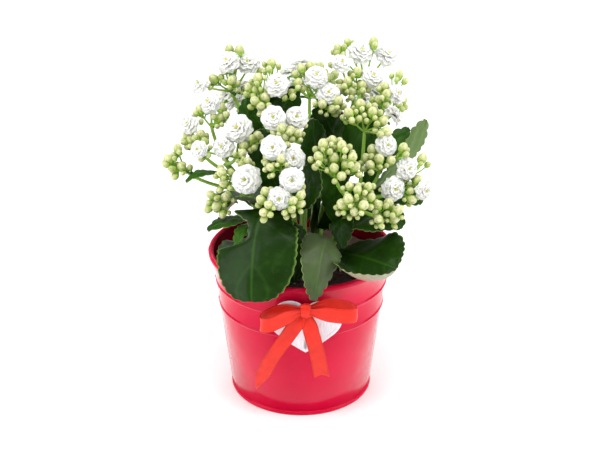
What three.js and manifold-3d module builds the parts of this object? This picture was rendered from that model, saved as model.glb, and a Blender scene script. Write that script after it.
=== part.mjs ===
// A kalanchoe in flower, in its grower's pot, standing in a painted tin pail with a heart tag and a bow.
// Millimetres, +Z up. The pail stands on z = 0 around the Z axis, and its tag and bow face -Y.
import * as THREE from 'three';
import { mergeVertices } from 'three/addons/utils/BufferGeometryUtils.js';
import Module from 'manifold-3d';

const wasm = await Module();
wasm.setup();

// Driving dimensions.
const gap = 0.4; // clearance between neighbouring pieces
const pailHeight = 107.6;
const pailRimRadius = 65; // outside of the rolled rim
const pailFootRadius = 49.6; // outside of the wall at the bottom
const pailSheet = 1.2;
const pailSides = 48;
const rimRoll = 2.1; // radius of the rolled rim
const ribHeights = [68, 85.5];
const ribRise = 0.9;
const ribHalfHeight = 1.8;
const footSeamRise = 0.8;
const footSeamHeight = 3.4;
const sideSeamWidth = 6;
const sideSeamRise = 0.7;
const baseFlange = 4;
const rimRollStart = -0.3; // where the rolled rim leaves the wall, in half turns

const innerPotHeight = 95;
const innerPotRimRadius = 55;
const innerPotFootRadius = 37;
const innerPotWall = 1.1;
const innerPotLip = 6; // height of the thick band under the rim
const innerPotLipRise = 1.6;
const drainHoleRadius = 4;
const drainHoleCount = 5;
const drainCircle = 24;

const soilDepth = 86; // soil surface above the inner pot's floor
const soilBumps = 1.2;
const stemDepth = 16; // how far the stems reach into the soil

const tagWidth = 48;
const tagHeight = 42;
const tagThickness = 1.4;
const tagLevel = 78; // height of the tag's middle above the ground
const tagShift = 3;
const padRadius = 6;
const padThickness = 1.6;

const ribbonWidth = 10.5;
const ribbonThickness = 0.8;
const knotRise = 18; // from the tag's middle up its face to the knot
const knotStandoff = 6; // from the tag's face to the knot's middle

// The plant's points below are listed for a rim of this height and radius. They follow the rim.
const listedRimHeight = 107.6;
const listedRimRadius = 65;

const stemRadius = 2.7;
const stalkRadius = 1.2;
const branchletRadius = 0.6;
const leafThickness = 1.8;
const petioleWidth = 3.4;
const leafSteps = 7;
const budWidth = 5.6;
const floretDepth = 0.34; // half the depth of a bloom as a share of its width
const domeBlooms = 11;
const domeFloretWidth = 14;
const goldenTurn = 2.4; // between one bloom of a dome and the next, in radians
const knotSize = [5, 4, 6];

const up = new THREE.Vector3(0, 0, 1);

function vector(list) {
  return new THREE.Vector3(...list);
}

function besideRim(height) {
  return height + pailHeight - listedRimHeight;
}

// A listed point of the plant, in its place over the rim.
function plantPoint([x, y, z]) {
  const spread = pailRimRadius / listedRimRadius;
  return new THREE.Vector3(x * spread, y * spread, besideRim(z));
}

const plantCentre = plantPoint([0, 20, 140]); // blooms face away from it

// Solids: closed meshes with shared corners, and joins and cuts between them.
function closed(geometry) {
  const bare = geometry.clone();
  bare.deleteAttribute('normal');
  bare.deleteAttribute('uv');
  return mergeVertices(bare, 1e-4);
}

function solid(geometry) {
  const whole = closed(geometry);
  return new wasm.Manifold(new wasm.Mesh({
    numProp: 3,
    vertProperties: new Float32Array(whole.attributes.position.array),
    triVerts: new Uint32Array(whole.index.array),
  }));
}

function geometryOf(body) {
  const mesh = body.getMesh();
  const geometry = new THREE.BufferGeometry();
  geometry.setAttribute('position', new THREE.BufferAttribute(mesh.vertProperties, 3));
  geometry.setIndex(new THREE.BufferAttribute(mesh.triVerts, 1));
  geometry.computeVertexNormals();
  return geometry;
}

function joined(geometries) {
  return geometries.map(solid).reduce((whole, piece) => whole.add(piece));
}

function circle(radius, sides) {
  const shape = new THREE.Shape();
  for (let i = 0; i < sides; i++) {
    const turn = 2 * Math.PI * i / sides;
    const step = i === 0 ? 'moveTo' : 'lineTo';
    shape[step](radius * Math.cos(turn), radius * Math.sin(turn));
  }
  shape.closePath();
  return shape;
}

function tube(curve, radius, sides, steps) {
  return new THREE.ExtrudeGeometry(circle(radius, sides), { steps, extrudePath: curve });
}

// A straight round bar between two points.
function bar(start, end, radius, sides) {
  const geometry = new THREE.CylinderGeometry(radius, radius, start.distanceTo(end), sides);
  const along = end.clone().sub(start).normalize();
  geometry.applyQuaternion(new THREE.Quaternion().setFromUnitVectors(new THREE.Vector3(0, 1, 0), along));
  const middle = start.clone().add(end).multiplyScalar(0.5);
  return geometry.translate(middle.x, middle.y, middle.z);
}

// A flat bar bent along a curve. sectionAt gives its half width, its side direction and its lift.
function bentStrip(curve, steps, columns, thickness, sectionAt) {
  const strip = new THREE.BoxGeometry(1, 2, 2, steps, columns, 1);
  const corners = strip.attributes.position;
  for (let i = 0; i < corners.count; i++) {
    const along = corners.getX(i) + 0.5;
    const across = -corners.getY(i);
    const layer = corners.getZ(i);
    const tangent = curve.getTangent(along);
    const section = sectionAt(along, across, tangent);
    const normal = section.side.clone().cross(tangent).normalize();
    const place = curve.getPoint(along);
    place.addScaledVector(section.side, across * section.halfWidth);
    place.addScaledVector(normal, section.lift + layer * thickness / 2);
    corners.setXYZ(i, place.x, place.y, place.z);
  }
  return strip;
}

// Pail wall: radius of its outside at a height, with the two pressed ribs.
const wallTop = pailHeight - rimRoll;
const wallTopRadius = pailRimRadius - 2 * rimRoll + pailSheet;
const wallSlope = (wallTopRadius - pailFootRadius) / wallTop;
const wallLean = Math.atan(wallSlope);

function wallRadius(height) {
  return pailFootRadius + wallSlope * height;
}

function ribOutline() {
  const outline = [];
  for (const height of ribHeights) {
    outline.push([wallRadius(height - ribHalfHeight), height - ribHalfHeight]);
    outline.push([wallRadius(height) + ribRise, height]);
    outline.push([wallRadius(height + ribHalfHeight), height + ribHalfHeight]);
  }
  return outline;
}

function rimOutline() {
  const outline = [];
  const centre = pailRimRadius - rimRoll;
  const points = 8;
  for (let i = 0; i <= points; i++) {
    const turn = Math.PI * (rimRollStart + (1 - rimRollStart) * i / points);
    outline.push([centre + rimRoll * Math.cos(turn), wallTop + rimRoll * Math.sin(turn)]);
  }
  return outline;
}

function pailWall() {
  const seamRadius = wallRadius(footSeamHeight / 2) + footSeamRise;
  const outside = [
    [pailFootRadius, 0],
    [seamRadius, footSeamHeight * 0.3],
    [seamRadius, footSeamHeight * 0.7],
    [wallRadius(footSeamHeight), footSeamHeight],
    ...ribOutline(),
    ...rimOutline(),
  ];
  const inside = ribOutline().reverse().map(([radius, height]) => [radius - pailSheet, height]);
  const outline = [...outside, ...inside, [pailFootRadius - pailSheet, 0], outside[0]];
  const wall = new THREE.LatheGeometry(outline.map(([r, z]) => new THREE.Vector2(r, z)), pailSides);
  wall.rotateX(Math.PI / 2);
  const seamLength = (wallTop - rimRoll) / Math.cos(wallLean);
  const seam = new THREE.BoxGeometry(pailSheet + sideSeamRise, sideSeamWidth, seamLength);
  seam.rotateY(wallLean);
  const middle = (wallTop - rimRoll) / 2 + footSeamHeight / 4;
  seam.translate(wallRadius(middle) - pailSheet / 2 + sideSeamRise / 2, 0, middle);
  seam.rotateZ(Math.PI);
  return geometryOf(joined([wall, seam]));
}

function pailBase() {
  const radius = pailFootRadius - pailSheet - gap;
  const outline = [
    [0, 0],
    [radius, 0],
    [radius, baseFlange],
    [radius - pailSheet, baseFlange],
    [radius - pailSheet, pailSheet],
    [0, pailSheet],
  ];
  return lathe(outline, pailSides);
}

function lathe(outline, sides) {
  const geometry = new THREE.LatheGeometry(outline.map(([r, z]) => new THREE.Vector2(r, z)), sides);
  return closed(geometry.rotateX(Math.PI / 2));
}

// Grower's pot, standing on the pail's bottom.
const innerPotFloor = pailSheet + gap;
const innerPotTop = innerPotFloor + innerPotHeight;
const innerPotSides = 32;

function innerPotRadius(height) {
  const share = (height - innerPotFloor) / innerPotHeight;
  return innerPotFootRadius + (innerPotRimRadius - innerPotLipRise - innerPotFootRadius) * share;
}

function nurseryPot() {
  const lipFoot = innerPotTop - innerPotLip;
  const outline = [
    [0, innerPotFloor],
    [innerPotFootRadius, innerPotFloor],
    [innerPotRadius(lipFoot), lipFoot],
    [innerPotRadius(lipFoot) + innerPotLipRise, lipFoot],
    [innerPotRimRadius, innerPotTop],
    [innerPotRimRadius - innerPotLipRise - innerPotWall, innerPotTop],
    [innerPotFootRadius - innerPotWall, innerPotFloor + innerPotWall],
    [0, innerPotFloor + innerPotWall],
  ];
  let pot = solid(lathe(outline, innerPotSides));
  for (let i = 0; i < drainHoleCount; i++) {
    const turn = 2 * Math.PI * i / drainHoleCount;
    const drill = new THREE.CylinderGeometry(drainHoleRadius, drainHoleRadius, 4 * innerPotWall, 16);
    drill.rotateX(Math.PI / 2);
    drill.translate(drainCircle * Math.cos(turn), drainCircle * Math.sin(turn), innerPotFloor);
    pot = pot.subtract(solid(drill));
  }
  return geometryOf(pot);
}

// Stems: each rises from the soil along a curve through its foot, elbow and top.
const soilFloor = innerPotFloor + innerPotWall + gap;
const soilTop = soilFloor + soilDepth;
const stemFoot = soilTop - stemDepth;

const stems = {
  left: { foot: [-13, 0], elbow: [-22, 6, 132], top: [-52, 6, 168] },
  back_left: { foot: [-5, 7], elbow: [-10, 10, 150], top: [-25, 12, 198] },
  front: { foot: [-3, -7], elbow: [-3, -14, 140], top: [-10, -34, 168] },
  right: { foot: [10, -4], elbow: [22, -10, 128], top: [44, -24, 160] },
  top_right: { foot: [7, 8], elbow: [16, 14, 150], top: [36, 18, 206] },
  back: { foot: [0, 17], elbow: [2, 26, 140], top: [6, 46, 186] },
};

function stemCurve(name, footLevel = stemFoot) {
  const { foot, elbow, top } = stems[name];
  return new THREE.QuadraticBezierCurve3(vector([...foot, footLevel]), plantPoint(elbow), plantPoint(top));
}

function stemBody(name) {
  return tube(stemCurve(name), stemRadius, 6, 6);
}

// The hole that a stem leaves in the soil.
function stemHole(name) {
  return tube(stemCurve(name, stemFoot - gap), stemRadius + gap, 6, 6);
}

// The point where something leaves a stem at a height, just clear of the stem on the side it grows to,
// or just past the stem's top.
function besideStem(name, height, target, ownRadius) {
  const curve = stemCurve(name);
  let share = 0;
  while (share < 1 && curve.getPoint(share).z < besideRim(height)) {
    share += 0.005;
  }
  if (share >= 1) {
    return curve.getPoint(1).addScaledVector(curve.getTangent(1), gap + ownRadius);
  }
  const middle = curve.getPoint(share);
  const away = target.clone().sub(middle);
  const tangent = curve.getTangent(share);
  away.addScaledVector(tangent, -away.dot(tangent)).normalize();
  return middle.addScaledVector(away, stemRadius + gap + ownRadius);
}

function soilBody() {
  const radius = innerPotRadius(soilTop) - innerPotWall - 2 * gap;
  const footRadius = innerPotFootRadius - innerPotWall - gap;
  const rings = 5;
  const outline = [[0, soilFloor], [footRadius, soilFloor]];
  for (let i = 0; i < rings; i++) {
    outline.push([radius * (1 - i / rings), soilTop]);
  }
  outline.push([0, soilTop]);
  const heap = lathe(outline, 24);
  const corners = heap.attributes.position;
  for (let i = 0; i < corners.count; i++) {
    const [x, y, z] = [corners.getX(i), corners.getY(i), corners.getZ(i)];
    if (z === Math.fround(soilTop)) {
      corners.setZ(i, z - soilBumps * (1 + Math.sin(0.21 * x + 1) * Math.cos(0.17 * y)));
    }
  }
  let body = solid(heap);
  for (const name of Object.keys(stems)) {
    body = body.subtract(solid(stemHole(name)));
  }
  return geometryOf(body);
}

// Leaves: each leaves a stem at a height and follows its midrib over an elbow to a tip. roll turns the blade
// about its midrib, in degrees. cup lifts both edges and curl one, as shares of the half width. fullness
// moves the widest place towards the tip, and a smaller blunt rounds the tip.
const leaves = {
  front_left: {
    stem: 'front', from: 112, elbow: [-32, -36, 194], tip: [-32, -77, 105],
    width: 56, fullness: 2.6, blunt: 0.3, cup: -0.2,
  },
  front_dark: { stem: 'front', from: 132, elbow: [-16, -30, 156], tip: [-44, -38, 162], width: 24, roll: 25 },
  front_middle: {
    stem: 'front', from: 134, elbow: [-1, -34, 142], tip: [-5, -48, 104],
    width: 18, fullness: 2,
  },
  front_grey: {
    stem: 'right', from: 106, elbow: [18, -58, 165], tip: [8, -79, 107],
    width: 27, roll: -25, cup: -0.3,
  },
  front_wavy: { stem: 'front', from: 145, elbow: [6, -26, 160], tip: [10, -34, 184], width: 22, roll: 75 },
  front_narrow: { stem: 'right', from: 126, elbow: [28, -24, 150], tip: [27, -41, 126], width: 12, roll: 10 },
  front_right: {
    stem: 'right', from: 108, elbow: [40, -43, 129], tip: [68, -60, 126],
    width: 44, fullness: 2.5, blunt: 0.45, roll: 28, curl: 0.8,
  },
  right_upper: {
    stem: 'right', from: 122, elbow: [46, -25, 151], tip: [67, -39, 140],
    width: 32, roll: 15, cup: 0.1,
  },
  right_outer: { stem: 'right', from: 138, elbow: [56, -4, 164], tip: [81, -20, 149], width: 27, roll: 20 },
  left_inner: {
    stem: 'left', from: 104, elbow: [-34, -24, 126], tip: [-56, -32, 118],
    width: 26, roll: 10, cup: 0.1,
  },
  left_small: { stem: 'left', from: 124, elbow: [-42, -16, 142], tip: [-63, -28, 133], width: 15 },
  left_pointed: { stem: 'left', from: 114, elbow: [-38, -24, 146], tip: [-44, -34, 124], width: 10 },
  left_bract: { stem: 'left', from: 154, elbow: [-66, -8, 174], tip: [-78, -8, 160], width: 10 },
  left_tall: { stem: 'back_left', from: 172, elbow: [-37, 0, 190], tip: [-36, 4, 216], width: 16, roll: 70 },
  centre_left: {
    stem: 'back_left', from: 140, elbow: [-24, -2, 168], tip: [-28, -3, 196],
    width: 24, roll: 75,
  },
  right_tall: {
    stem: 'top_right', from: 140, elbow: [36, -6, 178], tip: [46, 0, 212],
    width: 27, fullness: 2, roll: 75,
  },
  middle_tall: { stem: 'top_right', from: 150, elbow: [7, -4, 176], tip: [7, -4, 204], width: 24, roll: 80 },
  middle_right: { stem: 'right', from: 128, elbow: [17, -10, 158], tip: [28, -10, 187], width: 24, roll: 75 },
  right_spoon: {
    stem: 'right', from: 157, elbow: [72, 8, 166], tip: [85, 16, 196],
    width: 13, fullness: 2, roll: 60,
  },
  right_slim: { stem: 'right', from: 149, elbow: [56, -4, 186], tip: [73, 0, 195], width: 13, roll: 40 },
  back_left: { stem: 'back_left', from: 116, elbow: [-44, 42, 160], tip: [-56, 58, 108], width: 44 },
  back_middle: { stem: 'back', from: 112, elbow: [4, 52, 166], tip: [8, 80, 106], width: 46 },
  back_right: { stem: 'top_right', from: 112, elbow: [46, 42, 158], tip: [62, 50, 110], width: 46 },
};

function leafOutline(along, fullness, blunt) {
  return Math.sin(Math.PI * along ** fullness) ** blunt;
}

function leafBody({
  stem, from, elbow, tip, width,
  fullness = 1.3, blunt = 0.55, roll = 0, cup = 0, curl = 0,
}) {
  const root = besideStem(stem, from, plantPoint(elbow), petioleWidth / 2);
  const midrib = new THREE.QuadraticBezierCurve3(root, plantPoint(elbow), plantPoint(tip));
  const level = plantPoint(tip).sub(root).cross(up).normalize();
  return bentStrip(midrib, leafSteps, 2, leafThickness, (along, across, tangent) => {
    const side = level.clone().addScaledVector(tangent, -level.dot(tangent)).normalize();
    side.applyAxisAngle(tangent, THREE.MathUtils.degToRad(roll));
    const halfWidth = Math.max(petioleWidth / 2, width / 2 * leafOutline(along, fullness, blunt));
    const lift = halfWidth * (cup * across ** 2 + curl * Math.max(0, 2 * across - 1) ** 2);
    return { side, halfWidth, lift };
  });
}

// Flower clusters: a stalk leaves a stem at a height and ends in a fork, from which a branchlet runs
// to each bloom. A floret is [x, y, z, width], a bud [x, y, z] or [x, y, z, width].
const clusters = {
  top_left: {
    stem: 'back_left', from: 186, fork: [-48, 28, 212],
    florets: [[-50, 28, 233, 15], [-36, 32, 231, 15], [-69, 22, 219, 12]],
    buds: [[-49, 38, 239], [-42, 33, 240], [-60, 28, 221], [-47, 22, 222], [-52, 35, 226]],
  },
  left_upper: {
    stem: 'left', from: 166, fork: [-61, 12, 192],
    florets: [[-62, 14, 209, 14]],
    buds: [[-69, 16, 203], [-54, 13, 206], [-55, 12, 199]],
  },
  left_middle: {
    stem: 'left', from: 160, fork: [-70, 8, 178],
    florets: [[-76, 10, 195, 13]],
    buds: [[-78, 11, 186], [-68, 6, 189], [-75, 8, 184]],
  },
  far_left: {
    stem: 'left', from: 148, fork: [-78, 0, 164],
    florets: [],
    buds: [[-90, -1, 174, 6], [-87, -1, 166, 6], [-84, 3, 180], [-81, -4, 170]],
  },
  left_inner: {
    stem: 'left', from: 168, fork: [-44, -8, 178],
    florets: [[-42, -9, 199, 18], [-52, -12, 187, 14], [-68, -14, 186, 11]],
    buds: [[-33, -8, 190], [-29, -12, 195], [-38, -12, 188], [-39, -18, 185]],
  },
  left_front: {
    stem: 'left', from: 156, fork: [-42, -28, 168],
    florets: [[-36, -42, 176, 18]],
    buds: [[-35, -31, 184], [-52, -39, 180], [-51, -38, 172]],
  },
  low_left: {
    stem: 'left', from: 146, fork: [-50, -14, 148],
    florets: [],
    buds: [[-61, -18, 155], [-51, -18, 153], [-57, -22, 148], [-53, -22, 142, 5], [-63, -21, 145, 5]],
  },
  centre_back: {
    stem: 'back_left', from: 198, fork: [-20, 8, 207],
    florets: [[-16, 4, 225, 15]],
    buds: [[-6, 6, 220], [-2, 6, 226], [-31, -2, 216], [-24, 2, 217], [-27, -2, 212], [-35, 8, 222],
      [-29, 6, 229], [-20, 17, 236]],
  },
  centre_upper: {
    stem: 'front', from: 160, fork: [-10, -20, 194],
    florets: [[-18, -24, 212, 15], [-3, -20, 211, 14]],
    buds: [[-13, -30, 207], [-7, -26, 204], [-11, -30, 201], [-2, -26, 202]],
  },
  front_upper: {
    stem: 'front', from: 168, fork: [-13, -40, 182],
    florets: [[-18, -44, 199, 15], [-5, -43, 191, 14]],
    buds: [[-13, -50, 194, 5], [-22, -40, 191, 5], [-20, -52, 189, 5]],
  },
  front_lower: {
    stem: 'front', from: 156, fork: [-13, -54, 162],
    florets: [[-6, -57, 182, 15], [-14, -61, 171, 14]],
    buds: [[0, -62, 174, 5], [0, -62, 168, 5], [-5, -66, 172, 5], [-23, -58, 175, 5], [-21, -66, 169, 5],
      [-26, -60, 170, 5], [-24, -67, 164, 5], [-6, -64, 165, 5]],
  },
  top_centre: {
    stem: 'top_right', from: 194, fork: [15, 8, 207],
    florets: [[10, 7, 230, 14], [18, 4, 219, 14]],
    buds: [[25, -2, 216], [21, -2, 210], [14, -3, 214], [6, 16, 234], [0, 12, 234]],
  },
  top_middle: {
    stem: 'top_right', from: 206, fork: [35, 16, 214],
    florets: [[27, 19, 235, 12], [48, 18, 226, 14]],
    buds: [[31, 12, 225], [34, 12, 218], [26, 11, 220], [41, 14, 221], [38, 19, 229]],
  },
  right_upper: {
    stem: 'top_right', from: 188, fork: [54, 8, 206],
    florets: [[64, 6, 218, 12]],
    buds: [[52, 6, 214], [57, 3, 219], [56, 9, 222], [66, 14, 229, 5]],
  },
  top_right: {
    stem: 'top_right', from: 198, fork: [44, 38, 217],
    florets: [[41, 42, 236, 16], [59, 44, 233, 15]],
    buds: [[25, 43, 238, 5], [32, 48, 241, 5], [50, 46, 242]],
  },
  middle_band: {
    stem: 'right', from: 152, fork: [42, -10, 197],
    florets: [],
    buds: [[31, -14, 212], [39, -8, 216], [47, -12, 212, 6], [54, -14, 206, 6], [56, -21, 201, 6]],
  },
  centre_buds: {
    stem: 'right', from: 150, fork: [22, -38, 176],
    florets: [],
    buds: [[14, -42, 201, 6], [20, -36, 201], [26, -42, 200, 6], [21, -43, 192, 6], [11, -46, 194, 6],
      [29, -44, 188, 6], [21, -48, 187], [26, -50, 182], [33, -47, 194], [35, -46, 187]],
  },
  right_middle: {
    stem: 'right', from: 160, fork: [52, -22, 174],
    florets: [[56, -24, 193, 14]],
    buds: [[47, -22, 189, 6], [51, -30, 186, 6], [43, -24, 184], [45, -31, 182], [59, -28, 184],
      [67, -25, 192]],
  },
  right_outer: {
    stem: 'right', from: 154, fork: [64, -24, 160],
    florets: [[70, -28, 178, 14], [61, -34, 166, 15], [81, -37, 166, 12]],
    buds: [[77, -27, 170], [80, -24, 184], [73, -38, 160]],
  },
  front_right: {
    stem: 'right', from: 142, fork: [34, -50, 158],
    florets: [],
    buds: [[30, -61, 171, 6], [26, -58, 166, 6], [36, -58, 176, 5], [43, -53, 176, 5], [31, -54, 177, 5],
      [45, -56, 170, 5], [40, -62, 167, 6], [34, -61, 162, 5]],
  },
  low_right: {
    stem: 'right', from: 146, fork: [54, -42, 148],
    florets: [],
    buds: [[50, -48, 161], [57, -44, 160, 6], [63, -50, 158, 6], [61, -48, 151, 6], [50, -53, 153]],
  },
  back_left: { stem: 'back', from: 168, fork: [-38, 52, 186], dome: 20 },
  back_middle: { stem: 'back', from: 186, fork: [6, 58, 197], dome: 22 },
  back_right: { stem: 'back', from: 160, fork: [56, 50, 182], dome: 20 },
};

// Blooms of a round cluster: a sunflower spiral over a shallow dome, every third one open.
function domeOf({ fork, dome }) {
  const florets = [];
  const buds = [];
  for (let i = 0; i < domeBlooms; i++) {
    const reach = dome * Math.sqrt((i + 0.3) / domeBlooms);
    const turn = i * goldenTurn;
    const rise = dome * 1.05 - reach ** 2 / dome / 2;
    const place = [fork[0] + reach * Math.cos(turn), fork[1] + reach * Math.sin(turn), fork[2] + rise];
    if (i % 3 === 1) {
      florets.push([...place, domeFloretWidth]);
    } else {
      buds.push(place);
    }
  }
  return { florets, buds };
}

function budBody(place, fork, width) {
  const ball = new THREE.OctahedronGeometry(width / 2, 0);
  ball.scale(1, 1.15, 1);
  const along = place.clone().sub(fork).normalize();
  ball.applyQuaternion(new THREE.Quaternion().setFromUnitVectors(new THREE.Vector3(0, 1, 0), along));
  return ball.translate(place.x, place.y, place.z);
}

// A double bloom: a low round cushion with five lobes, facing away from the plant's middle.
function floretBody(place, width) {
  const cushion = closed(new THREE.SphereGeometry(1, 10, 3));
  const corners = cushion.attributes.position;
  for (let i = 0; i < corners.count; i++) {
    const [x, y, z] = [corners.getX(i), corners.getY(i), corners.getZ(i)];
    const lobe = width / 2 * (0.92 + 0.08 * Math.cos(5 * Math.atan2(z, x)));
    corners.setXYZ(i, x * lobe, y * width * floretDepth, z * lobe);
  }
  const face = place.clone().sub(plantCentre).normalize();
  cushion.applyQuaternion(new THREE.Quaternion().setFromUnitVectors(new THREE.Vector3(0, 1, 0), face));
  return cushion.translate(place.x, place.y, place.z);
}

function clusterBody(cluster) {
  const fork = plantPoint(cluster.fork);
  const { florets, buds } = cluster.dome ? domeOf(cluster) : cluster;
  const start = besideStem(cluster.stem, cluster.from, fork, stalkRadius);
  const elbow = new THREE.Vector3(
    start.x * 0.25 + fork.x * 0.75,
    start.y * 0.25 + fork.y * 0.75,
    start.z * 0.6 + fork.z * 0.4,
  );
  const pieces = [
    tube(new THREE.QuadraticBezierCurve3(start, elbow, fork), stalkRadius, 4, 3),
    new THREE.OctahedronGeometry(stalkRadius * 1.5, 0).translate(fork.x, fork.y, fork.z),
  ];
  for (const [x, y, z, width] of florets) {
    const place = plantPoint([x, y, z]);
    pieces.push(bar(fork, place, branchletRadius, 3), floretBody(place, width));
  }
  for (const [x, y, z, width = budWidth] of buds) {
    const place = plantPoint([x, y, z]);
    pieces.push(bar(fork, place, branchletRadius, 3), budBody(place, fork, width));
  }
  return geometryOf(joined(pieces));
}

// Heart tag, flat, leaning with the wall in front of it, on a foam pad.
const tagFront = wallRadius(tagLevel) + ribRise + padThickness + gap;

function heartShape() {
  const w = tagWidth / 2;
  const top = tagHeight / 2;
  const cleft = top * 0.72;
  const heart = new THREE.Shape();
  heart.moveTo(0, cleft);
  heart.bezierCurveTo(w * 0.2, top * 1.08, w * 0.62, top * 1.1, w * 0.84, top * 0.78);
  heart.bezierCurveTo(w * 1.12, top * 0.35, w * 1.02, -top * 0.05, w * 0.72, -top * 0.35);
  heart.bezierCurveTo(w * 0.5, -top * 0.6, w * 0.2, -top * 0.85, 0, -top);
  heart.bezierCurveTo(-w * 0.2, -top * 0.85, -w * 0.5, -top * 0.6, -w * 0.72, -top * 0.35);
  heart.bezierCurveTo(-w * 1.02, -top * 0.05, -w * 1.12, top * 0.35, -w * 0.84, top * 0.78);
  heart.bezierCurveTo(-w * 0.62, top * 1.1, -w * 0.2, top * 1.08, 0, cleft);
  return heart;
}

function onTagPlane(geometry) {
  geometry.rotateX(Math.PI / 2);
  geometry.rotateX(wallLean);
  return geometry.translate(tagShift, -tagFront, tagLevel);
}

function heartTag() {
  const bevel = 0.3;
  const plate = new THREE.ExtrudeGeometry(heartShape(), {
    depth: tagThickness - 2 * bevel,
    curveSegments: 5,
    bevelThickness: bevel,
    bevelSize: bevel * 2,
    bevelOffset: -bevel * 2,
    bevelSegments: 1,
  });
  return onTagPlane(closed(plate).translate(0, 0, bevel));
}

function gluePad() {
  const pad = new THREE.CylinderGeometry(padRadius, padRadius, padThickness, 20);
  pad.rotateX(Math.PI / 2);
  pad.translate(0, 0, -padThickness / 2 - gap);
  return onTagPlane(closed(pad));
}

// Bow: strips of one ribbon, joined at the knot.
const knotReach = tagThickness + knotStandoff;
const knot = new THREE.Vector3(
  tagShift,
  -tagFront - knotReach * Math.cos(wallLean) - knotRise * Math.sin(wallLean),
  tagLevel + knotRise * Math.cos(wallLean) - knotReach * Math.sin(wallLean),
);

// Each strip's points are listed from the knot. Loops are wide up and down, and tails from side to side.
const ribbonStrips = [
  {
    points: [[0, 1, 0], [14, 4, 2], [29, 1, 1], [33, -5, 0], [26, -8, 0], [12, -5, 0], [0, -1, 0]],
    side: [0, 0, 1], steps: 12,
  },
  {
    points: [[0, 1, 0], [-14, 4, -2], [-26, 1, -5], [-30, -5, -7], [-24, -9, -6], [-11, -5, -2], [0, -1, 0]],
    side: [0, 0, 1], steps: 12,
  },
  { points: [[0, 0, 0], [-11, -3, -16], [-25, 2, -42], [-37, 17, -78]], side: [1, 0, 0], steps: 8 },
  { points: [[0, 0, 0], [4, -3, -16], [8, 0, -34], [11, 7, -55]], side: [1, 0, 0], steps: 8 },
];

function ribbonStrip({ points, side, steps }) {
  const curve = new THREE.CatmullRomCurve3(points.map((p) => vector(p).add(knot)));
  return bentStrip(curve, steps, 1, ribbonThickness, (along, across, tangent) => {
    const square = vector(side).addScaledVector(tangent, -vector(side).dot(tangent)).normalize();
    return { side: square, halfWidth: ribbonWidth / 2, lift: 0 };
  });
}

function ribbonBow() {
  const knotBall = new THREE.SphereGeometry(1, 10, 6).scale(...knotSize);
  knotBall.translate(knot.x, knot.y, knot.z);
  return geometryOf(joined([knotBall, ...ribbonStrips.map(ribbonStrip)]));
}

function finish(color, roughness, metalness = 0) {
  return new THREE.MeshStandardMaterial({ color, roughness, metalness });
}

const materials = {
  pail: () => finish(0xd51a35, 0.22),
  innerPot: () => finish(0xb98a78, 0.6),
  soil: () => finish(0x2c1d1a, 0.95),
  stem: () => finish(0x6f9a3c, 0.5),
  leaf: () => finish(0x2f5e1f, 0.35),
  blooms: () => finish(0xf4f2da, 0.6),
  tag: () => finish(0xdfe0e2, 0.4, 0.6),
  pad: () => finish(0xf2f2f2, 0.9),
  ribbon: () => finish(0xee3a2c, 0.45),
};

const plant = new THREE.Group();

function addPiece(name, geometry, material) {
  const mesh = new THREE.Mesh(geometry, material);
  mesh.name = name;
  plant.add(mesh);
}

addPiece('pot_wall', pailWall(), materials.pail());
addPiece('pot_base', pailBase(), materials.pail());
addPiece('nursery_pot', nurseryPot(), materials.innerPot());
addPiece('soil', soilBody(), materials.soil());
addPiece('heart_tag', heartTag(), materials.tag());
addPiece('glue_pad', gluePad(), materials.pad());
addPiece('ribbon_bow', ribbonBow(), materials.ribbon());
for (const name of Object.keys(stems)) {
  addPiece(`stem_${name}`, closed(stemBody(name)), materials.stem());
}
for (const [name, leaf] of Object.entries(leaves)) {
  addPiece(`leaf_${name}`, closed(leafBody(leaf)), materials.leaf());
}
for (const [name, cluster] of Object.entries(clusters)) {
  addPiece(`flowers_${name}`, clusterBody(cluster), materials.blooms());
}

export default plant;
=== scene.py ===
import random
from functools import partial
from math import atan, atan2, copysign, cos, exp, hypot, pi, radians, sin, sqrt

import bpy
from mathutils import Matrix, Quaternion, Vector


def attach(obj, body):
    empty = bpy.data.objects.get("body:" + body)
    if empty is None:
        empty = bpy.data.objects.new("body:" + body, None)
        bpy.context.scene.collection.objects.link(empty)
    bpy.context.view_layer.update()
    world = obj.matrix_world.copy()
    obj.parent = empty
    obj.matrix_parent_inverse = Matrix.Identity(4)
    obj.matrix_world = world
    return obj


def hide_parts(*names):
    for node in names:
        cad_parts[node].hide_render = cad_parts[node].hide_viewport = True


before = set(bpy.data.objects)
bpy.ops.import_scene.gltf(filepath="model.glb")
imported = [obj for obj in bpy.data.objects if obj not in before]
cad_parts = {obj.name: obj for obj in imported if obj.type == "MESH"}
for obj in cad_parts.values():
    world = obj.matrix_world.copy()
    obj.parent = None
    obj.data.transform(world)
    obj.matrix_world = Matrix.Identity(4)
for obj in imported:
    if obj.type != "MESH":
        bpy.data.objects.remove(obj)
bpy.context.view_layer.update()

# A kalanchoe with white double flowers in a red tin pail, finished for a studio render.
# Sizes are written in millimetres, as in the solid model, and turned to metres when a mesh is made.
mm = 0.001
up = Vector((0, 0, 1))
fullTurn = 2 * pi


def srgb(code):
    values = [int(code[i:i + 2], 16) / 255 for i in (1, 3, 5)]
    return tuple(v / 12.92 if v <= 0.04045 else ((v + 0.055) / 1.055) ** 2.4 for v in values) + (1,)


def mix(a, b, share):
    return a + (b - a) * share


def smooth(low, high, value):
    share = min(1, max(0, (value - low) / (high - low)))
    return share * share * (3 - 2 * share)


def newPiece():
    # A piece being made: each corner has a tint of four numbers that the materials read.
    return {"corners": [], "faces": [], "finishes": [], "tints": []}


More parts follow.
